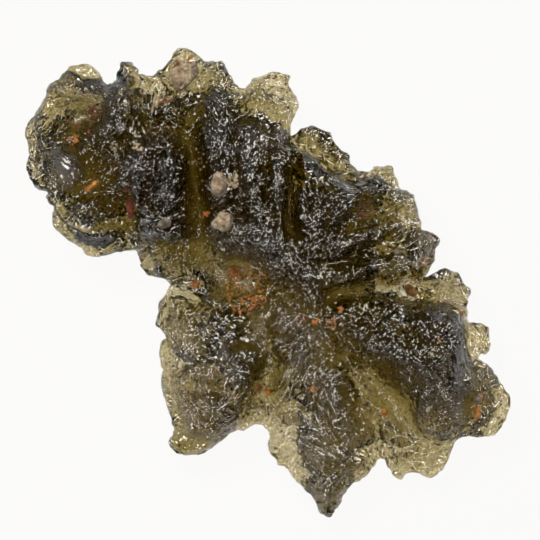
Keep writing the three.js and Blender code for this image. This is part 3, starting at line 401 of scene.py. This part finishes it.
def reshape(points, triangles, wall):
    """Makes the thin edge a little thicker and blunter, and moves the underside over the named stretches."""
    lean = normals_of(points, triangles)[:, 2]
    freedom = np.clip(points[:, 2] / SHIFT_HEIGHT, 0, 1)
    points[:, 2] += np.where(wall, np.where(lean > 0, EDGE_RISE, -EDGE_DROP), 0.0)
    bevel(points, np.flatnonzero(lean < UNDER_LEAN), wall)
    plan_x, plan_y = plan_of(points)
    moved = np.zeros(len(points))
    for x, y, radius, down in THICKNESS_SPOTS:
        near = np.clip(1.0 - (np.hypot(plan_x - x, plan_y - y) / radius) ** 2, 0, 1)
        moved -= down * MM * near**2 * (3 - 2 * near)
    moved[(lean > UNDER_LEAN) | wall] = 0.0
    tree = BVHTree.FromPolygons(points.tolist(), triangles.tolist())
    for index in np.flatnonzero(moved > 0):
        start = Vector(points[index]) + Vector((0, 0, RAY_START))
        above = tree.ray_cast(start, Vector((0, 0, 1)))[3] or 0.0
        moved[index] = min(moved[index], max(0.0, above - LEAST_THICKNESS))
    points[:, 2] += moved * freedom


# ---------------------------------------------------------------------------------------------------
# Etched relief of the glass
# ---------------------------------------------------------------------------------------------------

# Width of the cells that hold one pit each, and the depth of the pits: wide ones and small ones.
PIT_WIDTH = 0.95 * MM
PIT_DEPTH = 0.26 * MM
SMALL_PIT_WIDTH = 0.5 * MM
SMALL_PIT_DEPTH = 0.14 * MM
# A pit ends at this share of its cell's width from its middle. Half its depth is added all over, so
# that the face keeps its level.
PIT_REACH = 0.62
PIT_LIFT = 0.5
# Keeps the small pits from following the wide ones.
SMALL_PIT_SHIFT = Vector((1, 2, 3))
# The pits are bent out of round by this much, in waves this wide.
BEND = 0.22 * MM
BEND_WIDTH = 0.7 * MM
# Wide and small pits take turns over patches: where the wide ones have a large share, the small ones
# have what is left of PATCH_SUM.
PATCH_WIDTH = 2.4 * MM
PATCH_LEAST, PATCH_MOST = 0.1, 1.3
PATCH_MEAN, PATCH_SWING = 0.7, 1.3
PATCH_SUM = 1.5
SWELL_WIDTH = 1.4 * MM
SWELL_HEIGHT = 0.22 * MM
SWELL_OCTAVES = 3
# Fractal noises: how fast the octaves weaken, and how many times finer each is than the last.
FRACTAL = (0.8, 2.1)
STRIA_WIDTH = 0.26 * MM
STRIA_LENGTH = 2.4 * MM
CREST_WIDTH = 0.16 * MM
# Crests and cracks are only where the upward part of the normal is above this.
CREST_LEAN = 0.1

# The relief dies away over this width towards the thin rim, down to a share of its depth.
RIM_WIDTH = 1.3 * MM
RIM_SHARE = 0.6
# The underside has this share of the relief, and the feet have none: it grows over this height.
UNDER_SHARE = 0.7
FOOT_HEIGHT = 0.3 * MM
# The rim is broken into teeth about this wide and into finer ones; FRAY_LAYERS tells how much they
# differ up its height.
FRAY_WIDTH = 0.6 * MM
FINE_FRAY_WIDTH = 0.45 * FRAY_WIDTH
FINE_FRAY_SHARE = 0.5
FRAY_SIZE = 0.15 * MM
FRAY_REACH = 0.7 * MM
FRAY_LAYERS = 0.25

# Length of the mesh's sides on the sculpted face and on the side that the stone lies on. A corner is
# on the sculpted face when the upward part of its normal is above TOP_LEAN.
TOP_SIDE = 0.25 * MM
UNDER_SIDE = 0.55 * MM
TOP_LEAN = -0.15
# The sides are this much shorter on the first striated stretches of the list, FINE_SPOTS of them, and
# this much longer where less than CALM_PITS is left of the pits.
FINE_SHARE = 0.72
FINE_SPOTS = 3
CALM_SHARE = 1.35
CALM_PITS = 0.5
# The mesh is split in rounds, down to this many times its side length in each.
SPLIT_ROUNDS = (3, 3, 2, 2, 1, 1)


def calm_at(plan_x, plan_y):
    """How much each corner takes of the pits and of the finest etching: less on the smooth stretches."""
    pits, etch = np.ones(len(plan_x)), np.ones(len(plan_x))
    for x, y, radius, pits_left, etch_left in SMOOTH_SPOTS:
        inside = share_inside(plan_x, plan_y, x, y, radius, 2)
        pits *= 1.0 - (1.0 - pits_left) * inside
        etch *= 1.0 - (1.0 - etch_left) * inside
    return pits, etch


def dull_at(plan_x, plan_y):
    """How dull the skin is at each corner, from 0 to 1."""
    dull = np.zeros(len(plan_x))
    for x, y, radius in DULL_SPOTS:
        dull = np.maximum(dull, share_inside(plan_x, plan_y, x, y, radius))
    return dull


def pit_profile(point, width):
    """-1 in the middle of a round-bottomed pit and 0 on the level ground between pits."""
    share = min(1.0, noise.voronoi(point / width)[0][0] / PIT_REACH)
    return share * share * (3 - 2 * share) - 1.0


def pits_at(point):
    """Height of the pits and swells at one point of the glass, in metres."""
    bent = point + noise.noise_vector(point / BEND_WIDTH) * BEND
    wide_share = PATCH_MEAN + PATCH_SWING * noise.noise(point / PATCH_WIDTH)
    wide_share = min(PATCH_MOST, max(PATCH_LEAST, wide_share))
    small_share = PATCH_SUM - wide_share
    height = PIT_DEPTH * wide_share * (pit_profile(bent, PIT_WIDTH) + PIT_LIFT)
    small = pit_profile(bent + SMALL_PIT_SHIFT, SMALL_PIT_WIDTH) + PIT_LIFT
    height += SMALL_PIT_DEPTH * small_share * small
    return height + SWELL_HEIGHT * noise.fractal(point / SWELL_WIDTH, *FRACTAL, SWELL_OCTAVES)


def striae_at(points, plan_x, plan_y):
    """Fine parallel flow lines on the striated stretches."""
    height = np.zeros(len(points))
    for x, y, radius, direction, depth in STRIATED_SPOTS:
        inside = share_inside(plan_x, plan_y, x, y, radius)
        angle = math.radians(direction)
        for index in np.flatnonzero(inside):
            east, north, up = points[index]
            across = north * math.cos(angle) - east * math.sin(angle)
            along = east * math.cos(angle) + north * math.sin(angle)
            line = noise.noise(Vector((across / STRIA_WIDTH, along / STRIA_LENGTH, up / STRIA_LENGTH)))
            height[index] += depth * MM * inside[index] * line
    return height


def crests_at(plan_x, plan_y):
    """Ridges and cracks along the crest lines."""
    width = CREST_WIDTH * squares_per_metre
    total = np.zeros(len(plan_x))
    for height, line in CREST_LINES:
        nearest = np.full(len(plan_x), np.inf)
        for (x0, y0), (x1, y1) in zip(line, line[1:]):
            run = (x1 - x0) ** 2 + (y1 - y0) ** 2
            share = np.clip(((plan_x - x0) * (x1 - x0) + (plan_y - y0) * (y1 - y0)) / run, 0, 1)
            away = np.hypot(plan_x - x0 - share * (x1 - x0), plan_y - y0 - share * (y1 - y0))
            nearest = np.minimum(nearest, away)
        total += height * MM * np.exp(-((nearest / width) ** 2))
    return total


def rim_distance(points, wall):
    """How far each corner lies from the stone's rim, in plan."""
    tree = KDTree(int(wall.sum()))
    for index, point in enumerate(points[wall]):
        tree.insert((point[0], point[1], 0.0), index)
    tree.balance()
    return np.array([tree.find((x, y, 0.0))[2] for x, y in points[:, :2]])


def fray(points, distance):
    """Breaks the rim into small teeth and nicks by moving it sideways."""
    share = np.clip(1 - distance / FRAY_REACH, 0, 1)
    for index in np.flatnonzero(share):
        x, y, z = points[index]
        at = Vector((x, y, z * FRAY_LAYERS))
        fine = FINE_FRAY_SHARE * noise.noise_vector(at / FINE_FRAY_WIDTH)
        move = noise.noise_vector(at / FRAY_WIDTH) + fine
        points[index, 0] += move.x * FRAY_SIZE * share[index]
        points[index, 1] += move.y * FRAY_SIZE * share[index]


def crease_edge(mesh, triangles, wall):
    """Marks the two sharp edges of the wall, so that the shading turns there at once."""
    edges, at_side = edges_of(triangles)
    in_wall = wall[triangles].all(axis=1)
    walls = np.bincount(at_side.ravel(), np.repeat(in_wall, 3), len(edges))
    key = edges[:, 0] * len(wall) + edges[:, 1]
    ends = np.empty(2 * len(mesh.edges), dtype=np.int64)
    mesh.edges.foreach_get("vertices", ends)
    ends = np.sort(ends.reshape(-1, 2), axis=1)
    index = np.searchsorted(key, ends[:, 0] * len(wall) + ends[:, 1])
    sharp = mesh.attributes["sharp_edge"]
    marks = np.empty(len(mesh.edges), dtype=bool)
    sharp.data.foreach_get("value", marks)
    sharp.data.foreach_set("value", marks | (walls[index] == 1))


def side_lengths(points, triangles):
    """The longest side that the mesh may have at each corner."""
    plan_x, plan_y = plan_of(points)
    share = np.where(calm_at(plan_x, plan_y)[0] < CALM_PITS, CALM_SHARE, 1.0)
    for x, y, radius, _, _ in STRIATED_SPOTS[:FINE_SPOTS]:
        share = np.where(np.hypot(plan_x - x, plan_y - y) < radius, FINE_SHARE, share)
    upward = normals_of(points, triangles)[:, 2] > TOP_LEAN
    return np.where(upward, TOP_SIDE * share, UNDER_SIDE)


def make_stone(material):
    """The glass with its etched relief; returns a tree of its faces for setting crumbs on."""
    points, triangles = read_mesh(nodes["moldavite"])
    wall = on_edge_wall(points, triangles)
    reshape(points, triangles, wall)
    for coarseness in SPLIT_ROUNDS:
        side = side_lengths(points, triangles) * coarseness
        points, triangles, wall = split_long(points, triangles, wall, side)
        points = smooth(points, triangles, wall)
    distance = rim_distance(points, wall)
    fray(points, distance)
    normals = normals_of(points, triangles)
    plan_x, plan_y = plan_of(points)
    pits_left, etch_left = calm_at(plan_x, plan_y)
    relief = pits_left * np.array([pits_at(Vector(point)) for point in points])
    relief += striae_at(points, plan_x, plan_y)
    relief += crests_at(plan_x, plan_y) * (normals[:, 2] > CREST_LEAN)
    relief *= RIM_SHARE + (1 - RIM_SHARE) * np.clip(distance / RIM_WIDTH, 0, 1)
    relief *= np.where(normals[:, 2] < 0, UNDER_SHARE, 1.0)
    relief *= np.clip(points[:, 2] / FOOT_HEIGHT, 0, 1)
    points = np.clip(points + normals * relief[:, None], box_low, box_high)
    stone = make_object("etched_glass", points, triangles, material, ["moldavite"])
    crease_edge(stone.data, triangles, wall)
    for key, values in {"etch": etch_left, "dull": dull_at(plan_x, plan_y)}.items():
        stone.data.attributes.new(key, "FLOAT", "POINT").data.foreach_set("value", values)
    return BVHTree.FromPolygons(points.tolist(), triangles.tolist())


# ---------------------------------------------------------------------------------------------------
# Materials
# ---------------------------------------------------------------------------------------------------


class Shader:
    """A material whose nodes are added by name and joined by their sockets."""

    def __init__(self, name):
        self.material = bpy.data.materials.new(name)
        self.material.use_nodes = True
        self.tree = self.material.node_tree
        self.surface = self.tree.nodes["Principled BSDF"]
        self.output = self.tree.nodes["Material Output"]
        self.position = self.add("ShaderNodeTexCoord").outputs["Object"]

    def add(self, kind, inputs=(), **settings):
        """A new node; inputs maps its sockets to values or to other nodes' outputs."""
        node = self.tree.nodes.new(kind)
        for key, value in settings.items():
            setattr(node, key, value)
        for key, value in dict(inputs).items():
            self.set(node.inputs[key], value)
        return node

    def set(self, socket, value):
        """Joins another node's output to the socket, or sets its value."""
        if isinstance(value, bpy.types.NodeSocket):
            self.tree.links.new(value, socket)
        else:
            socket.default_value = value

    def noise(self, width, detail=3.0, roughness=0.55):
        """A noise whose lumps are about width metres wide."""
        inputs = {"Vector": self.position, "Scale": 1 / width, "Detail": detail, "Roughness": roughness}
        return self.add("ShaderNodeTexNoise", inputs).outputs["Fac"]

    def vector_math(self, operation, inputs):
        """The result of a node that reckons with vectors."""
        return self.add("ShaderNodeVectorMath", inputs, operation=operation).outputs["Vector"]

    def wander(self, width, bend):
        """The position, pushed about by up to bend metres in waves of twice the width."""
        inputs = {"Vector": self.position, "Scale": 1 / (2 * width), "Detail": 1.0}
        push = self.add("ShaderNodeTexNoise", inputs).outputs["Color"]
        return self.vector_math("MULTIPLY_ADD", {0: push, 1: (bend, bend, bend), 2: self.position})

    def cells(self, width, bend):
        """A pattern of cells about width metres wide, bent out of round by bend metres."""
        inputs = {"Vector": self.wander(width, bend), "Scale": 1 / width}
        return self.add("ShaderNodeTexVoronoi", inputs)

    def facets(self, width, bend, tilt, strength):
        """The normal, tilted this way and that in little flat facets about width metres across."""
        color = self.cells(width, bend).outputs["Color"]
        back = -tilt / 2
        offset = self.vector_math("MULTIPLY_ADD", {0: color, 1: (tilt, tilt, tilt), 2: (back, back, back)})
        offset = self.vector_math("SCALE", {"Vector": offset, "Scale": strength})
        normal = self.add("ShaderNodeNewGeometry").outputs["Normal"]
        return self.vector_math("NORMALIZE", {0: self.vector_math("ADD", {0: normal, 1: offset})})

    def ramp(self, value, stops):
        """stops: (place, colour or grey value) pairs."""
        node = self.add("ShaderNodeValToRGB", {"Fac": value})
        for element, (at, color) in zip(node.color_ramp.elements, stops, strict=True):
            element.position = at
            element.color = (*color, 1) if isinstance(color, tuple) else (color, color, color, 1)
        return node.outputs["Color"]

    def math(self, operation, *values):
        """The result of a node that reckons with numbers."""
        node = self.add("ShaderNodeMath", operation=operation)
        for socket, value in zip(node.inputs, values):
            self.set(socket, value)
        return node.outputs[0]

    def bump(self, height, distance, strength=1.0, normal=None):
        """The normal, bent by a height of up to distance metres; normal is the one to start from."""
        inputs = {"Height": height, "Distance": distance, "Strength": strength}
        if normal:
            inputs["Normal"] = normal
        return self.add("ShaderNodeBump", inputs).outputs["Normal"]


GLASS_IOR = 1.49
# Per metre, the volume takes away GLASS_DENSITY times (1 - tint) of the red, green and blue light.
GLASS_TINT = (0.562, 0.498, 0.1, 1.0)
GLASS_DENSITY = 1060.0
# Share of the light that the glass's base colour lets through, in and out, where it is dark and light; and
# the noise's values at which it is so. It is painted shade and painted light: the dimming stands in for
# the stone's shadow on the table below, and the dark and light mottle for backlight refracted by the fine
# pits.
SKIN_PAINTED_MOTTLE_WIDTH = 0.2 * MM
SKIN_PAINTED_MOTTLE_DETAIL, SKIN_PAINTED_MOTTLE_ROUGHNESS = 3.0, 0.6
SKIN_PAINTED_SHADE_STOPS = [(0.36, (0.45, 0.39, 0.31)), (0.62, (1.0, 0.93, 0.85))]
# Roughness of the skin, which changes from patch to patch, and what the dull stretches add to it.
SATIN_WIDTH = 2.6 * MM
SATIN_DETAIL = 2.0
SATIN_STOPS = [(0.4, 0.03), (0.62, 0.07)]
DULLNESS = 0.13
# The finest etching: flat facets that tilt the normal, and soft lumps on top of them.
FACET_WIDTH = 0.23 * MM
FACET_BEND = 0.15 * MM
FACET_TILT = 0.7
LUMP_WIDTH = 0.5 * MM
LUMP_DETAIL, LUMP_ROUGHNESS = 1.0, 0.4
LUMP_HEIGHT = 0.3 * MM


def glass_material():
    """Clear olive glass under an etched skin, with painted shade and painted light mottled into its base
    colour; the stone's etch and dull values vary it.
    """
    shader = Shader("moldavite_glass")
    surface = shader.surface
    # Painted shade and painted light: the base colour dims the light through the glass and mottles it dark
    # and light.
    mottle = shader.noise(SKIN_PAINTED_MOTTLE_WIDTH, SKIN_PAINTED_MOTTLE_DETAIL, SKIN_PAINTED_MOTTLE_ROUGHNESS)
    shader.set(surface.inputs["Base Color"], shader.ramp(mottle, SKIN_PAINTED_SHADE_STOPS))
    surface.inputs["IOR"].default_value = GLASS_IOR
    surface.inputs["Transmission Weight"].default_value = 1.0
    satin = shader.ramp(shader.noise(SATIN_WIDTH, SATIN_DETAIL), SATIN_STOPS)
    dull = shader.add("ShaderNodeAttribute", attribute_name="dull").outputs["Fac"]
    shader.set(surface.inputs["Roughness"], shader.math("MULTIPLY_ADD", dull, DULLNESS, satin))
    etch = shader.add("ShaderNodeAttribute", attribute_name="etch").outputs["Fac"]
    facets = shader.facets(FACET_WIDTH, FACET_BEND, FACET_TILT, etch)
    lumps = shader.noise(LUMP_WIDTH, LUMP_DETAIL, LUMP_ROUGHNESS)
    shader.set(surface.inputs["Normal"], shader.bump(lumps, LUMP_HEIGHT, etch, facets))
    absorb = shader.add("ShaderNodeVolumeAbsorption", {"Color": GLASS_TINT, "Density": GLASS_DENSITY})
    shader.tree.links.new(absorb.outputs["Volume"], shader.output.inputs["Volume"])
    return shader.material


# Dark and light tone of each grain material, and the colour of its specks.
GRAIN_COLORS = {
    "worn_sand": ((0.13, 0.082, 0.045), (0.44, 0.35, 0.24), (0.24, 0.1, 0.03)),
    "dried_clay": ((0.45, 0.15, 0.022), (0.75, 0.38, 0.09), (0.2, 0.035, 0.008)),
    "orange_clay": ((0.2, 0.055, 0.008), (0.45, 0.17, 0.022), (0.08, 0.028, 0.006)),
    "red_clay": ((0.08, 0.013, 0.005), (0.17, 0.035, 0.01), (0.04, 0.01, 0.004)),
    "grey_sand": ((0.06, 0.045, 0.03), (0.2, 0.16, 0.12), (0.09, 0.045, 0.015)),
    "cream_sand": ((0.28, 0.21, 0.12), (0.54, 0.45, 0.31), (0.18, 0.11, 0.045)),
}
MOTTLE_WIDTH = 0.55 * MM
MOTTLE_DETAIL, MOTTLE_ROUGHNESS = 4.0, 0.65
MOTTLE_STOPS = (0.36, 0.62)
# Specks and grit are cells this wide; a speck is solid near its cell's middle and then fades out.
SPECK_WIDTH = 0.34 * MM
SPECK_STOPS = [(0.16, 1.0), (0.34, 0.0)]
SPECK_STRENGTH = 0.7
GRIT_WIDTH = 0.32 * MM
GRIT_HEIGHT = 0.12 * MM
FINE_GRIT_WIDTH = 0.2 * MM
FINE_GRIT_DETAIL = 4.0
CELL_BEND = 0.3 * MM
MATT_WIDTH = 0.3 * MM
MATT_STOPS = [(0.3, 0.6), (0.7, 0.95)]
MATT_SPECULAR = 0.25


def grain_material(name, dark, light, speck):
    """Worn sand or dried clay: mottled colour, a few darker specks, and a finely gritty matt surface."""
    shader = Shader(name)
    surface = shader.surface
    mottle = shader.noise(MOTTLE_WIDTH, MOTTLE_DETAIL, MOTTLE_ROUGHNESS)
    mottle = shader.ramp(mottle, list(zip(MOTTLE_STOPS, (dark, light))))
    specks = shader.ramp(shader.cells(SPECK_WIDTH, CELL_BEND).outputs["Distance"], SPECK_STOPS)
    mix = shader.add("ShaderNodeMix", data_type="RGBA")
    shader.set(mix.inputs["Factor"], shader.math("MULTIPLY", specks, SPECK_STRENGTH))
    shader.set(mix.inputs["A"], mottle)
    shader.set(mix.inputs["B"], (*speck, 1))
    shader.set(surface.inputs["Base Color"], mix.outputs["Result"])
    shader.set(surface.inputs["Roughness"], shader.ramp(shader.noise(MATT_WIDTH), MATT_STOPS))
    surface.inputs["Specular IOR Level"].default_value = MATT_SPECULAR
    fine_grit = shader.noise(FINE_GRIT_WIDTH, FINE_GRIT_DETAIL)
    grit = shader.cells(GRIT_WIDTH, CELL_BEND).outputs["Distance"]
    height = shader.math("ADD", fine_grit, grit)
    shader.set(surface.inputs["Normal"], shader.bump(height, GRIT_HEIGHT))
    return shader.material


# ---------------------------------------------------------------------------------------------------
# Lodged grains
# ---------------------------------------------------------------------------------------------------

# In CAD a grain keeps this far from the floor below it. Here its lowest point goes down by SEAT_SINK
# times as much, so that it rests there.
SEAT_GAP = 0.3 * MM
SEAT_SINK = 1.1
GRAIN_SPLITS = 2
# Width and height of the lumps on a worn grain, as shares of its size.
WORN_WIDTH = 0.45
WORN_HEIGHT = 0.13
WORN_OCTAVES = 4
# The nodes with a material of their own, and the material of all others by the first word of the name.
GRAIN_MATERIALS = {"sand_grain_boss": "grey_sand", "clay_grain_head": "red_clay"}
SLOT_MATERIALS = {"sand": "worn_sand", "clay": "dried_clay"}


def make_grain(name, material):
    """A finer copy of the node's grain, let down on to the floor of its pit."""
    points, triangles = read_mesh(nodes[name])
    low, high = points.min(axis=0), points.max(axis=0)
    for _ in range(GRAIN_SPLITS):
        points, triangles = subdivide(points, triangles)
        points = smooth(points, triangles)
    share = np.clip((points[:, 2] - low[2]) / (high[2] - low[2]), 0, 1)
    points[:, 2] -= SEAT_GAP * (1 - share) * SEAT_SINK
    size = float((high - low).max())
    bulge = [noise.fractal(Vector(p) / (WORN_WIDTH * size), *FRACTAL, WORN_OCTAVES) for p in points]
    points = points + normals_of(points, triangles) * (np.array(bulge) * WORN_HEIGHT * size)[:, None]
    make_object(name + "_worn", points, triangles, material, [name])


def make_grains(materials):
    """All the grains that the CAD has a node for."""
    for name in nodes:
        slot = name.split("_")[0]
        if slot in SLOT_MATERIALS:
            kind = GRAIN_MATERIALS.get(name, SLOT_MATERIALS[slot])
            make_grain(name, materials[kind])


# ---------------------------------------------------------------------------------------------------
# Crumbs of clay and sand left on the glass
# ---------------------------------------------------------------------------------------------------

# Where crumbs lie: plan x, y, reach to the sides and up and down in squares, number, size in mm.
ORANGE_CRUMBS = [
    (247, 290, 22, 26, 190, 0.2),
    (236, 272, 8, 8, 30, 0.22),
    (258, 302, 9, 7, 30, 0.22),
    (196, 285, 4, 4, 18, 0.3),
    (258, 387, 4, 4, 16, 0.3),
    (268, 392, 4, 3, 10, 0.28),
    (384, 412, 3, 3, 14, 0.32),
    (340, 309, 3, 3, 9, 0.25),
    (332, 323, 5, 5, 16, 0.22),
    (207, 215, 4, 4, 14, 0.28),
    (315, 320, 4, 3, 8, 0.25),
    (437, 340, 2, 2, 3, 0.3),
    (313, 389, 4, 3, 7, 0.22),
    (462, 312, 3, 4, 10, 0.25),
    (76, 139, 7, 4, 16, 0.22),
    (412, 292, 8, 4, 18, 0.2),
    (190, 59, 5, 3, 9, 0.22),
    (424, 262, 5, 5, 10, 0.2),
    (480, 398, 5, 6, 12, 0.25),
    (230, 420, 60, 60, 26, 0.14),
    (380, 340, 60, 50, 24, 0.14),
    (120, 160, 70, 60, 30, 0.14),
]
RED_CRUMBS = [
    (94, 116, 5, 10, 34, 0.22),
    (68, 124, 3, 3, 8, 0.22),
    (78, 128, 3, 3, 8, 0.2),
    (91, 133, 3, 3, 8, 0.2),
    (177, 68, 4, 5, 14, 0.22),
    (160, 101, 12, 5, 22, 0.2),
    (132, 200, 3, 4, 10, 0.25),
    (365, 210, 11, 10, 50, 0.2),
    (302, 318, 4, 4, 10, 0.2),
    (127, 190, 4, 4, 8, 0.2),
]
CREAM_CRUMBS = [
    (139, 148, 5, 4, 16, 0.25),
    (115, 147, 4, 3, 8, 0.22),
    (233, 182, 6, 8, 26, 0.3),
    (421, 223, 3, 4, 10, 0.25),
    (461, 309, 3, 4, 9, 0.25),
    (368, 175, 7, 4, 18, 0.2),
    (427, 408, 2, 3, 5, 0.25),
    (430, 352, 3, 4, 5, 0.22),
    (410, 212, 9, 16, 40, 0.16),
    (174, 372, 6, 26, 30, 0.14),
    (200, 170, 8, 60, 18, 0.14),
    (270, 380, 110, 80, 60, 0.12),
    (200, 140, 150, 70, 60, 0.12),
]
# A crumb is the hull of this many corners. The pairs are the least and the most of a random share:
# of each corner's reach, of the stretch along the three axes, and of the size of the whole crumb.
CRUMB_CORNERS = 14
CRUMB_REACH = (0.75, 1.25)
CRUMB_STRETCH = [(0.7, 1.5), (0.7, 1.1), (0.4, 0.8)]
CRUMB_SCALE = (0.6, 1.3)
# Least and most turn about the upright, in radians.
CRUMB_TURN = (0, 6.3)
# A crumb's middle lies this share of its size above the glass.
CRUMB_LIFT = 0.1
# No crumb stays where the upward part of the normal is below this.
CRUMB_LEAN = 0.25
# The crumbs are dropped from this far above the table, in metres.
DROP_HEIGHT = 0.05


def crumb_shape(rng, size):
    """A low, angular lump: a handful of corners scattered round the middle, to be closed by their hull."""
    around = rng.normal(size=(CRUMB_CORNERS, 3))
    around /= np.linalg.norm(around, axis=1, keepdims=True)
    reach = size * MM / 2 * rng.uniform(*CRUMB_REACH, (CRUMB_CORNERS, 1))
    stretch = np.array([rng.uniform(*ends) for ends in CRUMB_STRETCH])
    return around * reach * stretch


def add_hull(lumps, corners):
    """Adds the hull of the corners to the mesh."""
    corners = [lumps.verts.new(corner) for corner in corners]
    hull = bmesh.ops.convex_hull(lumps, input=corners, use_existing_faces=False)
    spare = {v for v in hull["geom_interior"] + hull["geom_unused"] if isinstance(v, bmesh.types.BMVert)}
    bmesh.ops.delete(lumps, geom=list(spare), context="VERTS")


def drop_crumb(lumps, stone, rng, x, y, reach_x, reach_y, size):
    """Adds one crumb at a random place of the stretch, unless the glass is missing or too steep there."""
    angle, away = rng.uniform(0, 2 * math.pi), math.sqrt(rng.uniform(0, 1))
    east, north = place(x + reach_x * away * math.cos(angle), y + reach_y * away * math.sin(angle))
    spot, normal, _, _ = stone.ray_cast(Vector((east, north, DROP_HEIGHT)), Vector((0, 0, -1)))
    if spot is None or normal.z < CRUMB_LEAN:
        return
    scale = size * rng.uniform(*CRUMB_SCALE)
    turn = normal.to_track_quat("Z", "Y").to_matrix()
    turn = turn @ Matrix.Rotation(rng.uniform(*CRUMB_TURN), 3, "Z")
    middle = spot + normal * CRUMB_LIFT * scale * MM
    add_hull(lumps, [middle + turn @ Vector(corner) for corner in crumb_shape(rng, scale)])


def make_crumbs(name, spots, material, seed, stone):
    """Drops the crumbs of all the spots on to the stone's faces, and joins them in one piece."""
    rng = np.random.default_rng(seed)
    lumps = bmesh.new()
    for x, y, reach_x, reach_y, number, size in spots:
        for _ in range(number):
            drop_crumb(lumps, stone, rng, x, y, reach_x, reach_y, size)
    bmesh.ops.recalc_face_normals(lumps, faces=lumps.faces)
    mesh = bpy.data.meshes.new(name)
    lumps.to_mesh(mesh)
    lumps.free()
    mesh.materials.append(material)
    crumbs = add_object(name, mesh)
    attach(crumbs, "root")


# ---------------------------------------------------------------------------------------------------
# Stage: floor, light and camera
# ---------------------------------------------------------------------------------------------------

FLOOR_SIZE = 6.0
FLOOR_DROP = 0.02 * MM
FLOOR_COLOR = (0.02, 0.02, 0.02, 1)
FLOOR_ROUGHNESS = 0.9
FLOOR_GLOW = (1.0, 0.995, 0.98, 1)
FLOOR_GLOW_STRENGTH = 0.945


def make_floor():
    """The pale lit table, which glows evenly and hardly takes a shadow."""
    half = FLOOR_SIZE / 2
    corners = [(x * half, y * half, -FLOOR_DROP) for x, y in ((-1, -1), (1, -1), (1, 1), (-1, 1))]
    mesh = bpy.data.meshes.new("light_table")
    mesh.from_pydata(corners, [], [(0, 1, 2, 3)])
    floor = add_object("light_table", mesh)
    shader = Shader("pale_table")
    shader.surface.inputs["Base Color"].default_value = FLOOR_COLOR
    shader.surface.inputs["Roughness"].default_value = FLOOR_ROUGHNESS
    shader.surface.inputs["Specular IOR Level"].default_value = 0.0
    shader.surface.inputs["Emission Color"].default_value = FLOOR_GLOW
    shader.surface.inputs["Emission Strength"].default_value = FLOOR_GLOW_STRENGTH
    mesh.materials.append(shader.material)


# The world's grey level at two heights of the view: 0 is level with the horizon, 1 is straight up.
WORLD_STOPS = [(0.05, 0.65), (0.4, 0.1)]


def make_world():
    """A dim studio, lighter towards the horizon."""
    world = bpy.data.worlds.new("studio")
    bpy.context.scene.world = world
    world.use_nodes = True
    tree = world.node_tree
    direction = tree.nodes.new("ShaderNodeTexCoord").outputs["Generated"]
    split = tree.nodes.new("ShaderNodeSeparateXYZ")
    ramp = tree.nodes.new("ShaderNodeValToRGB")
    for element, (at, level) in zip(ramp.color_ramp.elements, WORLD_STOPS):
        element.position = at
        element.color = (level, level, level, 1)
    tree.links.new(direction, split.inputs["Vector"])
    tree.links.new(split.outputs["Z"], ramp.inputs["Fac"])
    tree.links.new(ramp.outputs["Color"], tree.nodes["Background"].inputs["Color"])


# Soft boxes: azimuth and elevation that they shine from, in degrees, and their width in metres.
GLINT_BOXES = [
    ("overhead", 240, 78, 0.026),
    ("south_high", 182, 66, 0.038),
    ("north_west", 325, 55, 0.08),
    ("north_east_high", 62, 64, 0.042),
    ("north_east", 49, 35, 0.08),
    ("east", 90, 30, 0.055),
    ("east_low", 66, 9, 0.06),
    ("south_low", 186, 20, 0.055),
    ("south_west_low", 249, 6, 0.065),
    ("west", 287, 38, 0.055),
]
# These soft boxes also light matt faces; the others only show as reflections.
MATT_BOXES = ["north_west"]
BOX_DISTANCE = 0.22
BOX_RADIANCE = 26.0
BOX_COLOR = (1.0, 0.96, 0.87)


def make_box(name, azimuth, elevation, width):
    """A square soft box that faces the stone."""
    light = bpy.data.lights.new(name, "AREA")
    light.size = width
    light.color = BOX_COLOR
    light.energy = BOX_RADIANCE * math.pi * width**2
    lamp = add_object(name, light)
    angle, height = math.radians(azimuth), math.radians(elevation)
    level = math.cos(height)
    toward = Vector((math.sin(angle) * level, math.cos(angle) * level, math.sin(height)))
    lamp.location = toward * BOX_DISTANCE
    lamp.rotation_euler = toward.to_track_quat("Z", "Y").to_euler()
    lamp.visible_diffuse = name in MATT_BOXES


LENS = 400.0
SENSOR = 36.0
CLIP_NEAR, CLIP_FAR = 0.01, 10.0
RIM_LEVEL = 4.2 * MM


def make_camera():
    """Straight above the stone, with the plan's square frame filling the picture at the rim's level."""
    camera = bpy.data.cameras.new("camera")
    camera.lens = LENS
    camera.sensor_width = SENSOR
    camera.clip_start, camera.clip_end = CLIP_NEAR, CLIP_FAR
    distance = PLAN_SIZE / squares_per_metre * LENS / SENSOR
    x, y = place(PLAN_SIZE / 2, PLAN_SIZE / 2)
    view = add_object("camera", camera)
    view.location = (x, y, RIM_LEVEL + distance)
    bpy.context.scene.camera = view


make_floor()
make_world()
for box in GLINT_BOXES:
    make_box(*box)
make_camera()
bpy.context.scene.view_settings.view_transform = "Standard"

glass = glass_material()
materials = {name: grain_material(name, *colors) for name, colors in GRAIN_COLORS.items()}
stone_faces = make_stone(glass)
make_grains(materials)
make_crumbs("orange_clay_crumbs", ORANGE_CRUMBS, materials["orange_clay"], 3, stone_faces)
make_crumbs("red_clay_crumbs", RED_CRUMBS, materials["red_clay"], 5, stone_faces)
make_crumbs("cream_sand_crumbs", CREAM_CRUMBS, materials["cream_sand"], 7, stone_faces)
